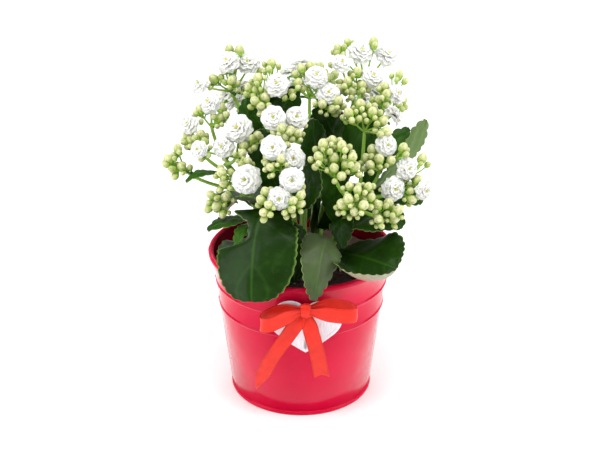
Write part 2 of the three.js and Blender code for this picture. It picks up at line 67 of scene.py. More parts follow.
def addPatch(piece, corners, faces, finish=0, tints=None):
    first = len(piece["corners"])
    piece["corners"].extend(corners)
    piece["faces"].extend(tuple(first + i for i in face) for face in faces)
    piece["finishes"].extend([finish] * len(faces))
    piece["tints"].extend(tints or [(0, 0, 0, 1)] * len(corners))


def finishPiece(piece, name, looks, nodes):
    # Makes the mesh in metres, gives it its finishes by name and stands it in for its nodes.
    mesh = bpy.data.meshes.new(name)
    mesh.from_pydata([tuple(c * mm for c in corner) for corner in piece["corners"]], [], piece["faces"])
    for look in looks:
        mesh.materials.append(finishes[look])
    mesh.polygons.foreach_set("material_index", piece["finishes"])
    mesh.polygons.foreach_set("use_smooth", [True] * len(mesh.polygons))
    tint = mesh.attributes.new("tint", "FLOAT_COLOR", "POINT")
    tint.data.foreach_set("color", [v for values in piece["tints"] for v in values])
    mesh.validate()
    made = bpy.data.objects.new(name, mesh)
    bpy.context.scene.collection.objects.link(made)
    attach(made, "root")
    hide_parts(*nodes)
    return made


def gridFaces(rows, columns, flip=False):
    # Quads of a grid with that many corners each way.
    faces = []
    for i in range(rows - 1):
        for j in range(columns - 1):
            a = i * columns + j
            quad = (a, a + 1, a + columns + 1, a + columns)
            faces.append(quad[::-1] if flip else quad)
    return faces


def slabFaces(rows, columns):
    # A closed thin slab: a top grid, a bottom grid, and a strip round the edge.
    layer = rows * columns
    faces = gridFaces(rows, columns)
    faces += [tuple(layer + i for i in face) for face in gridFaces(rows, columns, True)]
    rim = [j for j in range(columns)]
    rim += [i * columns + columns - 1 for i in range(1, rows)]
    rim += [(rows - 1) * columns + j for j in range(columns - 2, -1, -1)]
    rim += [i * columns for i in range(rows - 2, 0, -1)]
    for a, b in zip(rim, rim[1:] + rim[:1]):
        faces.append((b, a, layer + a, layer + b))
    return faces


def ringFaces(rings, sides, first=0, flip=False):
    # Quads between closed rings of corners, from one ring to the next.
    faces = []
    for i in range(rings - 1):
        for j in range(sides):
            a, b, k = first + i * sides, first + (i + 1) * sides, (j + 1) % sides
            faces.append((a + j, b + j, b + k, a + k) if flip else (a + j, a + k, b + k, b + j))
    return faces


def turnsOf(count):
    # That many angles, evenly round a full turn.
    return [fullTurn * i / count for i in range(count)]


def lathe(piece, outline, turns):
    # Turns a closed outline of (radius, height) round Z, through a list of angles.
    corners = [(radius * cos(turn), radius * sin(turn), height)
               for turn in turns for radius, height in outline]
    rows, columns = len(turns), len(outline)
    faces = []
    for i in range(rows):
        for j in range(columns):
            a, b, k = i * columns, (i + 1) % rows * columns, (j + 1) % columns
            faces.append((a + j, b + j, b + k, a + k))
    addPatch(piece, corners, faces)


def bezier(points, share):
    a, b, c = points
    return a * (1 - share) ** 2 + b * 2 * share * (1 - share) + c * share ** 2


def bezierTangent(points, share):
    a, b, c = points
    return ((b - a) * (1 - share) + (c - b) * share).normalized()


def tube(piece, line, radiusAt, finish, sides, steps, tintAt, side=None):
    # A stalk along a bent line, with closed ends. radiusAt gives its radius from a share of the line and a
    # turn about it, and tintAt its tint from a share.
    side = side or (line[2] - line[0]).orthogonal().normalized()
    corners, tints = [], []
    for i in range(steps + 1):
        share = i / steps
        tangent = bezierTangent(line, share)
        side = (side - tangent * side.dot(tangent)).normalized()
        other = tangent.cross(side)
        for turn in turnsOf(sides):
            out = side * cos(turn) + other * sin(turn)
            corners.append(tuple(bezier(line, share) + out * radiusAt(share, turn)))
            tints.append(tintAt(share))
    faces = ringFaces(steps + 1, sides)
    faces.append(tuple(range(sides))[::-1])
    faces.append(tuple(steps * sides + j for j in range(sides)))
    addPatch(piece, corners, faces, finish, tints)


def stalk(piece, line, radii, young, finish=0, sides=7, steps=7):
    # A plain round stalk that narrows evenly from one radius to the other. young is its share of fresh green.
    tube(piece, line, lambda share, turn: mix(*radii, share), finish, sides, steps,
         lambda share: (young, 0, 0, 1))


def feed(tree, node, inputs):
    # Sets or links a node's inputs. A node given as a value is linked from its first output in use.
    for key, value in inputs.items():
        named = [socket for socket in node.inputs if socket.enabled and socket.name == key]
        socket = named[0] if named else node.inputs[key]
        if isinstance(value, bpy.types.Node):
            value = next(output for output in value.outputs if output.enabled)
        if isinstance(value, bpy.types.NodeSocket):
            tree.links.new(value, socket)
        else:
            socket.default_value = value


usualSettings = {"Mix": {"data_type": "RGBA"}, "Math": {"operation": "MULTIPLY"}}


def addNode(tree, kind, inputs=None, stops=None, **settings):
    # Adds one node with its settings and links. stops are a colour ramp's (position, colour) pairs.
    node = tree.nodes.new("ShaderNode" + kind)
    for name, value in {**usualSettings.get(kind, {}), **settings}.items():
        setattr(node, name, value)
    feed(tree, node, inputs or {})
    if stops:
        elements = node.color_ramp.elements
        while len(elements) < len(stops):
            elements.new(0.5)
        for element, (position, colour) in zip(elements, stops):
            element.position = position
            element.color = colour if isinstance(colour, tuple) else (colour, colour, colour, 1)
    return node


def startMaterial(name, constants):
    # A new material, with the numbers that are the same all over set on the shader itself.
    material = bpy.data.materials.new(name)
    material.use_nodes = True
    feed(material.node_tree, material.node_tree.nodes["Principled BSDF"], constants)
    add = partial(addNode, material.node_tree)
    return material, add, add("TexCoord").outputs["Object"]


def finishMaterial(material, inputs):
    feed(material.node_tree, material.node_tree.nodes["Principled BSDF"], inputs)
    return material


def readTint(add):
    # The four numbers that each corner carries for its material.
    tint = add("Attribute", attribute_name="tint")
    parts = add("SeparateColor", {"Color": tint.outputs["Color"]})
    return *parts.outputs, tint.outputs["Alpha"]


def stoveEnamel():
    # Stove enamel sprayed on drawn steel sheet: one deep crimson under a hard clear gloss,
    # with the slow ripple of thin sheet, and a darker crimson inside that is painted shade on the inner wall.
    look = {"deep": "#be0330", "bright": "#cc0638", "inside": "#7d0620", "cloud": 40, "rub": 8,
            "ripple": 26, "rippleDepth": 0.016, "peel": 1.4, "peelDepth": 0.0008}
    material, add, place = startMaterial("StoveEnamelSprayedRed", {
        "IOR": 1.5, "Specular IOR Level": 0.03, "Coat Weight": 1.0, "Coat Roughness": 0.06, "Coat IOR": 1.19})
    cloud = add("TexNoise", {"Vector": place, "Scale": 1000 / look["cloud"], "Detail": 3})
    colour = add("ValToRGB", {"Fac": cloud}, [(0.3, srgb(look["deep"])), (0.7, srgb(look["bright"]))])
    # The inner wall's corners carry a share that paints shade there, mixing in a darker crimson.
    inside = readTint(add)[0]
    shaded = add("Mix", {"Factor": inside, "A": colour, "B": srgb(look["inside"])})
    rub = add("TexNoise", {"Vector": place, "Scale": 1000 / look["rub"], "Detail": 4})
    rough = add("ValToRGB", {"Fac": rub}, [(0.35, 0.3), (0.75, 0.42)])
    slow = add("TexNoise", {"Vector": place, "Scale": 1000 / look["ripple"], "Detail": 1})
    ripple = add("Bump", {"Height": slow, "Distance": look["rippleDepth"] * mm})
    fine = add("TexNoise", {"Vector": place, "Scale": 1000 / look["peel"], "Detail": 1})
    peel = add("Bump", {"Height": fine, "Distance": look["peelDepth"] * mm, "Normal": ripple})
    return finishMaterial(material, {
        "Base Color": shaded, "Roughness": rough, "Normal": ripple, "Coat Normal": peel})


def growersPlastic():
    # Thin polypropylene, injection moulded: dull brown tan with a fine matt grain.
    look = {"dark": "#5c3a30", "light": "#7d564a", "cloud": 8, "grain": 0.8, "grainDepth": 0.03}
    material, add, place = startMaterial("PolypropyleneMouldedTan", {"IOR": 1.49, "Roughness": 0.55})
    cloud = add("TexNoise", {"Vector": place, "Scale": 1000 / look["cloud"], "Detail": 4})
    colour = add("ValToRGB", {"Fac": cloud}, [(0.3, srgb(look["dark"])), (0.7, srgb(look["light"]))])
    grain = add("TexNoise", {"Vector": place, "Scale": 1000 / look["grain"], "Detail": 2})
    relief = add("Bump", {"Height": grain, "Distance": look["grainDepth"] * mm})
    return finishMaterial(material, {"Base Color": colour, "Normal": relief})


def pottingPeat():
    # Moist peat, sieved: near black brown, with paler fibre and reddish bark crumbs.
    look = {"ground": ((0.35, "#170d0b"), (0.6, "#35201c"), (0.8, "#553533")), "fibre": 2.5,
            "bark": ((0.0, "#271412"), (0.6, "#5a3230"), (1.0, "#9c7f7a")), "lump": 1.2, "lumpDepth": 0.8}
    material, add, place = startMaterial("PeatMoistSieved", {"IOR": 1.4, "Roughness": 0.9})
    shade, isCrumb = readTint(add)[:2]
    cloud = add("TexNoise", {
        "Vector": place, "Scale": 1000 / look["fibre"], "Detail": 6, "Roughness": 0.7})
    ground, bark = (add("ValToRGB", {"Fac": source}, [(stop, srgb(code)) for stop, code in look[key]])
                    for source, key in ((cloud, "ground"), (shade, "bark")))
    colour = add("Mix", {"Factor": isCrumb, "A": ground, "B": bark})
    lumps = add("TexNoise", {
        "Vector": place, "Scale": 1000 / look["lump"], "Detail": 5, "Roughness": 0.7})
    relief = add("Bump", {"Height": lumps, "Distance": look["lumpDepth"] * mm})
    return finishMaterial(material, {"Base Color": colour, "Normal": relief})


def leafTissue():
    # A thick living leaf, waxed by nature: deep green above, yellower at its margin, greyish pink below, and
    # on some leaves a painted grey sheen over the upper face.
    look = {"dark": "#0e2203", "middle": "#1a3806", "light": "#3a6a18", "margin": "#6f9636", "wax": "#4a6a36",
            "underside": "#a29c86", "veins": 7, "slant": 1.3, "cloud": 14, "waxPatch": 5,
            "pores": 2.5, "veinDepth": 0.3}
    material, add, place = startMaterial("LeafTissueWaxed", {
        "IOR": 1.45, "Specular IOR Level": 0.1, "Coat Weight": 0.07, "Coat Roughness": 0.16,
        "Subsurface Weight": 0.05, "Subsurface Scale": 0.001, "Subsurface Radius": (0.6, 1.0, 0.2)})
    along, across, under, age = readTint(add)
    tone = add("Math", {0: age, 1: 0.6})
    cloud = add("TexNoise", {"Vector": place, "Scale": 1000 / look["cloud"], "Detail": 4})
    shade = add("Math", {0: cloud, 1: 0.5, 2: tone}, operation="MULTIPLY_ADD")
    body = add("ValToRGB", {"Fac": shade}, [
        (0.15, srgb(look["dark"])), (0.5, srgb(look["middle"])), (0.95, srgb(look["light"]))])
    # Side veins leave the midrib at a slant towards the tip.
    lean = add("Math", {0: across, 1: look["slant"]})
    rows = add("Math", {0: along, 1: look["veins"]})
    slant = add("Math", {0: rows, 1: lean}, operation="SUBTRACT")
    cycle = add("Math", {0: slant, 1: 1.0}, operation="PINGPONG")
    vein = add("ValToRGB", {"Fac": cycle}, [(0.0, 0.13), (0.12, 0.0)])
    midrib = add("ValToRGB", {"Fac": across}, [(0.0, 0.35), (0.06, 0.0)])
    lines = add("Math", {0: vein, 1: midrib}, operation="MAXIMUM")
    veined = add("Mix", {"Factor": lines, "A": body, "B": srgb(look["light"])})
    edge = add("ValToRGB", {"Fac": across}, [(0.95, 0.0), (1.0, 0.6)])
    edged = add("Mix", {"Factor": edge, "A": veined, "B": srgb(look["margin"])})
    patch = add("TexNoise", {"Vector": place, "Scale": 1000 / look["waxPatch"], "Detail": 5})
    bloomed = add("ValToRGB", {"Fac": patch}, [(0.5, 0.0), (0.85, 0.14)])
    waxed = add("Mix", {"Factor": bloomed, "A": edged, "B": srgb(look["wax"])})
    # The third number greys a face towards the underside colour: the lower face's own grey, and on some upper
    # faces a painted grey sheen.
    below = add("Math", {0: under, 1: 0.85})
    colour = add("Mix", {"Factor": below, "A": waxed, "B": srgb(look["underside"])})
    pores = add("TexNoise", {"Vector": place, "Scale": 1000 / look["pores"], "Detail": 3})
    rough = add("ValToRGB", {"Fac": pores}, [(0.3, 0.3), (0.7, 0.46)])
    height = add("Math", {0: pores, 1: 0.4, 2: lines}, operation="MULTIPLY_ADD")
    relief = add("Bump", {"Height": height, "Distance": look["veinDepth"] * mm})
    return finishMaterial(material, {"Base Color": colour, "Roughness": rough, "Normal": relief})


def stalkTissue(name, colours):
    # Fleshy stalk with a thin skin: fresh yellow green above, duller and streaked towards the root.
    look = {**colours, "cloud": 3, "skin": 0.9, "skinDepth": 0.12}
    material, add, place = startMaterial(name, {
        "IOR": 1.42, "Roughness": 0.42, "Subsurface Weight": 0.12, "Subsurface Scale": 0.001})
    colour = add("Mix", {
        "Factor": readTint(add)[0], "A": srgb(look["old"]), "B": srgb(look["young"])})
    cloud = add("TexNoise", {"Vector": place, "Scale": 1000 / look["cloud"], "Detail": 5})
    streak = add("ValToRGB", {"Fac": cloud}, [(0.4, 0.0), (0.7, look["streaks"])])
    streaked = add("Mix", {"Factor": streak, "A": colour, "B": srgb(look["streak"])})
    skin = add("TexNoise", {"Vector": place, "Scale": 1000 / look["skin"], "Detail": 3})
    relief = add("Bump", {"Height": skin, "Distance": look["skinDepth"] * mm})
    return finishMaterial(material, {"Base Color": streaked, "Normal": relief})


def budTissue():
    # Closed petals, rolled tight: cream green, greener at the foot, with fine spiral seams.
    look = {"foot": "#64801f", "low": "#97a64a", "high": "#c2c58a", "tip": "#d6d5ac", "seam": "#7f9136",
            "young": "#8b9d3f", "freckle": "#dcdab2", "freckleSize": 1.2, "freckleDepth": 0.05}
    material, add, place = startMaterial("BudTissueRolled", {
        "IOR": 1.4, "Roughness": 0.42, "Subsurface Weight": 0.3, "Subsurface Scale": 0.0012,
        "Subsurface Radius": (1.0, 1.0, 0.5)})
    height, seam, youth = readTint(add)[:3]
    body = add("ValToRGB", {"Fac": height}, [
        (stop, srgb(look[key])) for stop, key in ((0.0, "foot"), (0.3, "low"), (0.6, "high"), (0.95, "tip"))])
    seamed = add("Mix", {"Factor": seam, "A": body, "B": srgb(look["seam"])})
    youthShare = add("Math", {0: youth, 1: 0.7})
    aged = add("Mix", {"Factor": youthShare, "A": seamed, "B": srgb(look["young"])})
    freckle = add("TexNoise", {"Vector": place, "Scale": 1000 / look["freckleSize"], "Detail": 3})
    freckles = add("ValToRGB", {"Fac": freckle}, [(0.45, 0.0), (0.8, 0.3)])
    colour = add("Mix", {"Factor": freckles, "A": aged, "B": srgb(look["freckle"])})
    relief = add("Bump", {"Height": freckle, "Distance": look["freckleDepth"] * mm})
    return finishMaterial(material, {"Base Color": colour, "Normal": relief})


def petalTissue():
    # Open petals: thin, white and silky, with a green foot and fine veins.
    look = {"foot": "#c6d27e", "throat": "#e4e7ce", "white": "#f4f4ef", "veinLine": "#dddfd0", "veins": 4,
            "veinDepth": 0.05}
    material, add, _ = startMaterial("PetalTissueSilky", {
        "IOR": 1.38, "Roughness": 0.5, "Subsurface Weight": 0.6, "Subsurface Scale": 0.002,
        "Subsurface Radius": (1.0, 0.97, 0.9)})
    along, across = readTint(add)[:2]
    body = add("ValToRGB", {"Fac": along}, [
        (0.0, srgb(look["foot"])), (0.22, srgb(look["throat"])), (0.4, srgb(look["white"]))])
    lines = add("Math", {0: across, 1: look["veins"]})
    cycle = add("Math", {0: lines, 1: 0.5}, operation="PINGPONG")
    vein = add("ValToRGB", {"Fac": cycle}, [(0.0, 0.22), (0.25, 0.0)])
    colour = add("Mix", {"Factor": vein, "A": body, "B": srgb(look["veinLine"])})
    relief = add("Bump", {"Height": cycle, "Distance": look["veinDepth"] * mm})
    return finishMaterial(material, {"Base Color": colour, "Normal": relief})


def floretMiddle():
    # The small tips in the middle of an open floret: grainy yellow green.
    look = {"green": "#b4bf42", "yellow": "#ece56e", "grain": 0.7}
    material, add, place = startMaterial("PollenTipsGrainy", {
        "IOR": 1.4, "Roughness": 0.55, "Subsurface Weight": 0.2, "Subsurface Scale": 0.001})
    grain = add("TexNoise", {"Vector": place, "Scale": 1000 / look["grain"], "Detail": 2})
    colour = add("ValToRGB", {"Fac": grain}, [(0.35, srgb(look["green"])), (0.65, srgb(look["yellow"]))])
    return finishMaterial(material, {"Base Color": colour})


def satinRibbon():
    # Polyester satin, woven: bright orange red with a silky streak along its threads.
    # Real threads lie 0.3 mm apart. They are drawn 0.9 mm apart so that they show.
    look = {"deep": "#c4130a", "bright": "#da2413", "thread": "#f54a30", "selvedge": "#a80f08",
            "sheen": "#ff8f70", "spacing": 0.9, "cloud": 7, "threadDepth": 0.06}
    material, add, place = startMaterial("PolyesterSatinWoven", {
        "IOR": 1.5, "Roughness": 0.34, "Sheen Weight": 0.08, "Sheen Roughness": 0.35,
        "Sheen Tint": srgb(look["sheen"]), "Anisotropic": 0.4, "Specular IOR Level": 0.25})
    along, across = readTint(add)[:2]
    count = add("Math", {0: across, 1: bow["width"] / look["spacing"]})
    thread = add("Math", {0: count, 1: 0.5}, operation="PINGPONG")
    weft = add("Math", {0: along, 1: 10 / look["spacing"]})
    crossing = add("Math", {0: weft, 1: 0.5}, operation="PINGPONG")
    weave = add("Math", {0: crossing, 1: 0.35, 2: thread}, operation="MULTIPLY_ADD")
    cloud = add("TexNoise", {"Vector": place, "Scale": 1000 / look["cloud"], "Detail": 3})
    body = add("ValToRGB", {"Fac": cloud}, [(0.3, srgb(look["deep"])), (0.7, srgb(look["bright"]))])
    share = add("Math", {0: weave, 1: 0.45})
    woven = add("Mix", {"Factor": share, "A": body, "B": srgb(look["thread"])})
    fromMiddle = add("Math", {0: across, 1: 0.5}, operation="SUBTRACT")
    reach = add("Math", {0: fromMiddle}, operation="ABSOLUTE")
    edge = add("ValToRGB", {"Fac": reach}, [(0.43, 0.0), (0.49, 0.6)])
    colour = add("Mix", {"Factor": edge, "A": woven, "B": srgb(look["selvedge"])})
    relief = add("Bump", {"Height": weave, "Distance": look["threadDepth"] * mm})
    return finishMaterial(material, {"Base Color": colour, "Normal": relief})


def brushedTag():
    # Aluminium sheet, brushed and then lacquered white: pale silver with fine strokes.
    look = {"low": "#dfe1ea", "high": "#f6f7fb", "strokeWidth": 0.8, "strokeLength": 14, "slant": 0.6,
            "strokeDepth": 0.03}
    material, add, place = startMaterial("AluminiumBrushedLacquered", {"Metallic": 0.1, "Coat Weight": 0.2})
    across, along = 1000 / look["strokeWidth"], 1000 / look["strokeLength"]
    turned = add("Mapping", {
        "Vector": place, "Rotation": (0.0, look["slant"], 0.0), "Scale": (across, across, along)})
    strokes = add("TexNoise", {"Vector": turned, "Scale": 1, "Detail": 3})
    colour = add("ValToRGB", {"Fac": strokes}, [(0.3, srgb(look["low"])), (0.7, srgb(look["high"]))])
    rough = add("ValToRGB", {"Fac": strokes}, [(0.3, 0.32), (0.7, 0.5)])
    relief = add("Bump", {"Height": strokes, "Distance": look["strokeDepth"] * mm})
    return finishMaterial(material, {"Base Color": colour, "Roughness": rough, "Normal": relief})


def padFoam():
    # Polyethylene foam tape, die cut: matt white with small closed cells.
    look = {"low": "#e6e6e2", "high": "#f7f7f4", "cell": 0.8, "cellDepth": 0.1}
    material, add, place = startMaterial("PolyethyleneFoamCut", {"IOR": 1.45, "Roughness": 0.85})
    cells = add("TexVoronoi", {"Vector": place, "Scale": 1000 / look["cell"]})
    colour = add("ValToRGB", {"Fac": cells}, [(0.0, srgb(look["low"])), (0.8, srgb(look["high"]))])
    relief = add("Bump", {"Height": cells, "Distance": look["cellDepth"] * mm})
    return finishMaterial(material, {"Base Color": colour, "Normal": relief})


# knotWrap is the ribbon that the knot takes. pleats and cupped are the depths of its folds.
bow = {"width": 10.5, "thickness": 0.35, "knotRise": 18, "knotStandoff": 6, "knotWrap": 30,
       "cupped": 0.5, "pleats": 1.5}
finishes = {
    "enamel": stoveEnamel(),
    "plastic": growersPlastic(),
    "peat": pottingPeat(),
    "leaf": leafTissue(),
    "stem": stalkTissue("StemTissueRibbed", {
        "young": "#86ab45", "old": "#56782c", "streak": "#3c5a22", "streaks": 0.35}),
    "stalk": stalkTissue("StalkTissueYoung", {
        "young": "#9cc44a", "old": "#7ba63c", "streak": "#5d8730", "streaks": 0.2}),
    "bud": budTissue(),
    "petal": petalTissue(),
    "floretMiddle": floretMiddle(),
    "ribbon": satinRibbon(),
    "tag": brushedTag(),
    "foam": padFoam(),
}
print("materials ready")

pail = {
    "height": 107.6, "rimRadius": 65, "footRadius": 49.6, "sheet": 1.2, "rimRoll": 2.1,
    "ribs": (68, 85.5), "ribRise": 0.9, "ribHalf": 1.8, "footSeamRise": 0.8, "footSeam": 3.4,
    "sideSeamWidth": 6, "sideSeamRise": 0.4, "flange": 4, "gap": 0.4,
}
pail["wallTop"] = pail["height"] - pail["rimRoll"]
pail["topRadius"] = pail["rimRadius"] - 2 * pail["rimRoll"] + pail["sheet"]
pail["slope"] = (pail["topRadius"] - pail["footRadius"]) / pail["wallTop"]


def wallRadius(height):
    return pail["footRadius"] + pail["slope"] * height


def ribRise(height):
    # Pressed ribs: low round waves in the sheet.
    rise = 0
    for rib in pail["ribs"]:
        distance = abs(height - rib) / pail["ribHalf"]
        if distance < 1:
            rise += pail["ribRise"] * cos(distance * pi / 2) ** 2
    return rise


def pailOutline():
    roll, top, sheet = pail["rimRoll"], pail["wallTop"], pail["sheet"]
    levels = [pail["footSeam"] + 0.3]
    for rib in pail["ribs"]:
        levels += [rib + pail["ribHalf"] * (i / 6 - 1) for i in range(13)]
    levels.sort()
    # The foot seam is a half round bead, and the rim a rolled edge that ends against the wall.
    beadLevel, beadHalf, sunk = pail["footSeam"] / 2, pail["footSeam"] / 2 - 0.05, 0.3
    outside = [(pail["footRadius"] - 0.5, 0)]
    for i in range(9):
        turn = -pi / 2 + pi * i / 8
        radius = wallRadius(beadLevel) - sunk + (pail["footSeamRise"] + sunk) * cos(turn)
        outside.append((radius, beadLevel + beadHalf * sin(turn)))
    outside += [(wallRadius(z) + ribRise(z), z) for z in levels]
    centre = pail["rimRadius"] - roll
    outside += [(centre + roll * cos(t), top + roll * sin(t))
                for t in [pi * (-0.3 + 1.3 * i / 20) for i in range(21)]]
    inside = [(wallRadius(z) + ribRise(z) - sheet, z) for z in reversed(levels)]
    return outside + inside + [(pail["footRadius"] - sheet, 0)]


def makePailWall():
    # Angles crowd together at the side seam, on the left, so that the lapped sheet has crisp edges.
    seam, half = pi, pail["sideSeamWidth"] / 2 / pail["rimRadius"]
    turns = [t for t in turnsOf(180) if abs(t - seam) > half + 0.01]
    turns = sorted(turns + [seam + half * s for s in (-1.12, -1, -0.5, 0, 0.5, 1, 1.12)])
    piece = newPiece()
    lathe(piece, pailOutline(), turns)
    for i, (x, y, z) in enumerate(piece["corners"]):
        turn = atan2(y, x) % fullTurn
        radius = hypot(x, y)
        outer = radius > wallRadius(z) - pail["sheet"] / 2
        if not outer:
            piece["tints"][i] = (1, 0, 0, 1)  # painted shade on the inner wall: a darker crimson
        if outer and abs(turn - seam) <= half * 1.05 and pail["footSeam"] < z:
            grown = radius + pail["sideSeamRise"] * (0.5 if z > pail["wallTop"] - 3 else 1)
            piece["corners"][i] = (x / radius * grown, y / radius * grown, z)
    return finishPiece(piece, "tin_pail_wall", ["enamel"], ["pot_wall"])


def makePailBase():
    radius, sheet, flange = pail["footRadius"] - pail["sheet"] - pail["gap"], pail["sheet"], pail["flange"]
    outline = [(0.01, 0), (radius - 1, 0), (radius - 0.3, 0.3), (radius, 1), (radius, flange - 0.2)]
    outline += [(radius - 0.2, flange), (radius - sheet, flange), (radius - sheet, sheet + 0.6)]
    outline += [(radius - sheet - 0.6, sheet)]
    outline += [(34, sheet), (32, sheet + 0.6), (30, sheet + 0.6), (28, sheet), (0.01, sheet)]
    piece = newPiece()
    lathe(piece, outline, turnsOf(120))
    return finishPiece(piece, "tin_pail_base", ["enamel"], ["pot_base"])


makePailWall()
makePailBase()
print("pail made")

growersPot = {"height": 95, "rimRadius": 55, "footRadius": 37, "wall": 1.1, "lip": 6, "lipRise": 1.6}
growersPot["floor"] = pail["sheet"] + pail["gap"]
growersPot["top"] = growersPot["floor"] + growersPot["height"]
soil = {"depth": 86, "bumps": 1.2, "crumbs": 420, "crumbSizes": (0.6, 2.0), "seed": 11}
soil["floor"] = growersPot["floor"] + growersPot["wall"] + pail["gap"]
soil["top"] = soil["floor"] + soil["depth"]


def growersRadius(height):
    pot = growersPot
    share = (height - pot["floor"]) / pot["height"]
    return pot["footRadius"] + (pot["rimRadius"] - pot["lipRise"] - pot["footRadius"]) * share


def makeGrowersPot():
    pot = growersPot
    floor, wall, top, rim, foot = (pot[key] for key in ("floor", "wall", "top", "rimRadius", "footRadius"))
    lipFoot, lipInside = top - pot["lip"], rim - pot["lipRise"]
    outline = [(0.01, floor), (foot - 1.5, floor), (foot, floor + 1.5)]
    outline += [(growersRadius(z), z) for z in (floor + 20, floor + 50, lipFoot)]
    outline += [(growersRadius(lipFoot) + pot["lipRise"], lipFoot), (rim, top - 0.5), (rim - 0.5, top)]
    outline += [(lipInside - 0.6, top), (lipInside - wall, top - 0.5)]
    outline += [(growersRadius(floor + 50) - wall, floor + 50), (foot - wall, floor + wall)]
    outline += [(0.01, floor + wall)]
    piece = newPiece()
    lathe(piece, outline, turnsOf(120))
    return finishPiece(piece, "growers_pot", ["plastic"], ["nursery_pot"])


def crumb(piece, place, size, shade, dice):
    # One crumb of bark: a box with each corner pushed in or out.
    corners = []
    for i in range(8):
        corner = Vector((i & 1, i >> 1 & 1, i >> 2)) * 2 - Vector((1, 1, 1))
        corners.append(tuple(place + corner * size * dice.uniform(0.35, 0.75)))
    faces = [(0, 2, 3, 1), (4, 5, 7, 6), (0, 1, 5, 4), (2, 6, 7, 3), (0, 4, 6, 2), (1, 3, 7, 5)]
    addPatch(piece, corners, faces, 0, [(shade, 1, 0, 1)] * 8)


def soilHeight(x, y):
    # Slow bumps as in the solid model, and a finer unevenness on them.
    rise = soil["bumps"] * (1 + sin(0.21 * x + 1) * cos(0.17 * y))
    fine = 0.7 * sin(0.9 * x + 1.3 * sin(0.6 * y)) * sin(1.1 * y + 0.7)
    return soil["top"] - rise + fine * 0.5


def makeSoil():
    dice = random.Random(soil["seed"])
    radius = growersRadius(soil["top"]) - growersPot["wall"] - 2 * pail["gap"]
    rings, sides = 26, 72
    corners = [(0, 0, soilHeight(0, 0))]
    for i in range(1, rings + 1):
        for turn in turnsOf(sides):
            x, y = radius * i / rings * cos(turn), radius * i / rings * sin(turn)
            corners.append((x, y, soilHeight(x, y) + dice.uniform(-0.35, 0.35)))
    footRadius = growersPot["footRadius"] - growersPot["wall"] - pail["gap"]
    for turn in turnsOf(sides):
        corners.append((footRadius * cos(turn), footRadius * sin(turn), soil["floor"]))
    faces = [(0, 1 + j, 1 + (j + 1) % sides) for j in range(sides)]
    faces += ringFaces(rings + 1, sides, 1, True)
    last = 1 + rings * sides
    faces.append(tuple(last + j for j in range(sides))[::-1])
    piece = newPiece()
    addPatch(piece, corners, faces)
    for i in range(soil["crumbs"]):
        turn, reach = dice.uniform(0, fullTurn), radius * sqrt(dice.random()) * 0.96
        x, y = reach * cos(turn), reach * sin(turn)
        size = dice.uniform(*soil["crumbSizes"])
        crumb(piece, Vector((x, y, soilHeight(x, y) + size * 0.3)), size, dice.random() ** 3, dice)
    return finishPiece(piece, "potting_soil", ["peat"], ["soil"])


makeGrowersPot()
makeSoil()
print("soil made")

stemShape = {"radius": 2.7, "depth": 16, "topRadius": 2.2, "knuckle": 0.45, "knuckles": 4, "angular": 0.05,
             "steps": 40, "sides": 14}
# Each stem runs from its foot in the soil over an elbow to its top. A shoot is a leaf made with the stem.
stems = {
    "left": {"foot": (-13, 0), "elbow": (-22, 6, 132), "top": (-52, 6, 168)},
    "back_left": {"foot": (-5, 7), "elbow": (-10, 10, 150), "top": (-25, 12, 198)},
    "front": {"foot": (-3, -7), "elbow": (-3, -14, 140), "top": (-10, -34, 168)},
    "right": {"foot": (10, -4), "elbow": (22, -10, 128), "top": (44, -24, 160)},
    "top_right": {
        "foot": (7, 8), "elbow": (16, 14, 150), "top": (36, 18, 206),
        "shoots": [
            {"line": ((10, 8, 112), (10, -4, 132), (9, -9, 158)), "width": 26, "roll": 80, "tone": 0.25,
             "turned": True},
            {"line": ((12, 9, 118), (24, 0, 132), (38, -6, 150)), "width": 20, "roll": 60, "tone": 0.35},
        ]},
    "back": {"foot": (0, 17), "elbow": (2, 26, 140), "top": (6, 46, 186)},
}


def stemLine(name):
    stem = stems[name]
    foot = Vector((*stem["foot"], soil["top"] - stemShape["depth"]))
    return foot, Vector(stem["elbow"]), Vector(stem["top"])


def besideStem(name, height, target):
    # Where something leaves a stem: the same place as in the solid model, but sunk into the stem's skin.
    line, share = stemLine(name), 0
    while share < 1 and bezier(line, share).z < height:
        share += 0.005
    if share >= 1:
        return bezier(line, 1) - bezierTangent(line, 1)
    middle, tangent = bezier(line, share), bezierTangent(line, share)
    away = target - middle
    away = (away - tangent * away.dot(tangent)).normalized()
    return middle + away * (stemShape["radius"] * 0.6)


def makeStem(name):
    shape, line = stemShape, stemLine(name)

    def radiusAt(share, turn):
        # Narrower upwards, with a knuckle where each pair of leaves once stood, and faintly four sided.
        knuckle = shape["knuckle"] * max(0, cos(share * fullTurn * shape["knuckles"])) ** 6
        radius = mix(shape["radius"], shape["topRadius"], share) + knuckle
        if share > 0.97:
            radius *= 0.8
        return radius * (1 + shape["angular"] * cos(4 * turn + 3 * share))

    piece = newPiece()
    tube(piece, line, radiusAt, 0, shape["sides"], shape["steps"],
         lambda share: (share, 0, 0, 1), Vector((1, 0, 0)))
    for i, shoot in enumerate(stems[name].get("shoots", [])):
        addLeaf(piece, tuple(Vector(p) for p in shoot["line"]), shoot, 90 + i, leafShape, 1)
    return finishPiece(piece, f"green_stem_{name}", ["stem", "leaf"], [f"stem_{name}"])


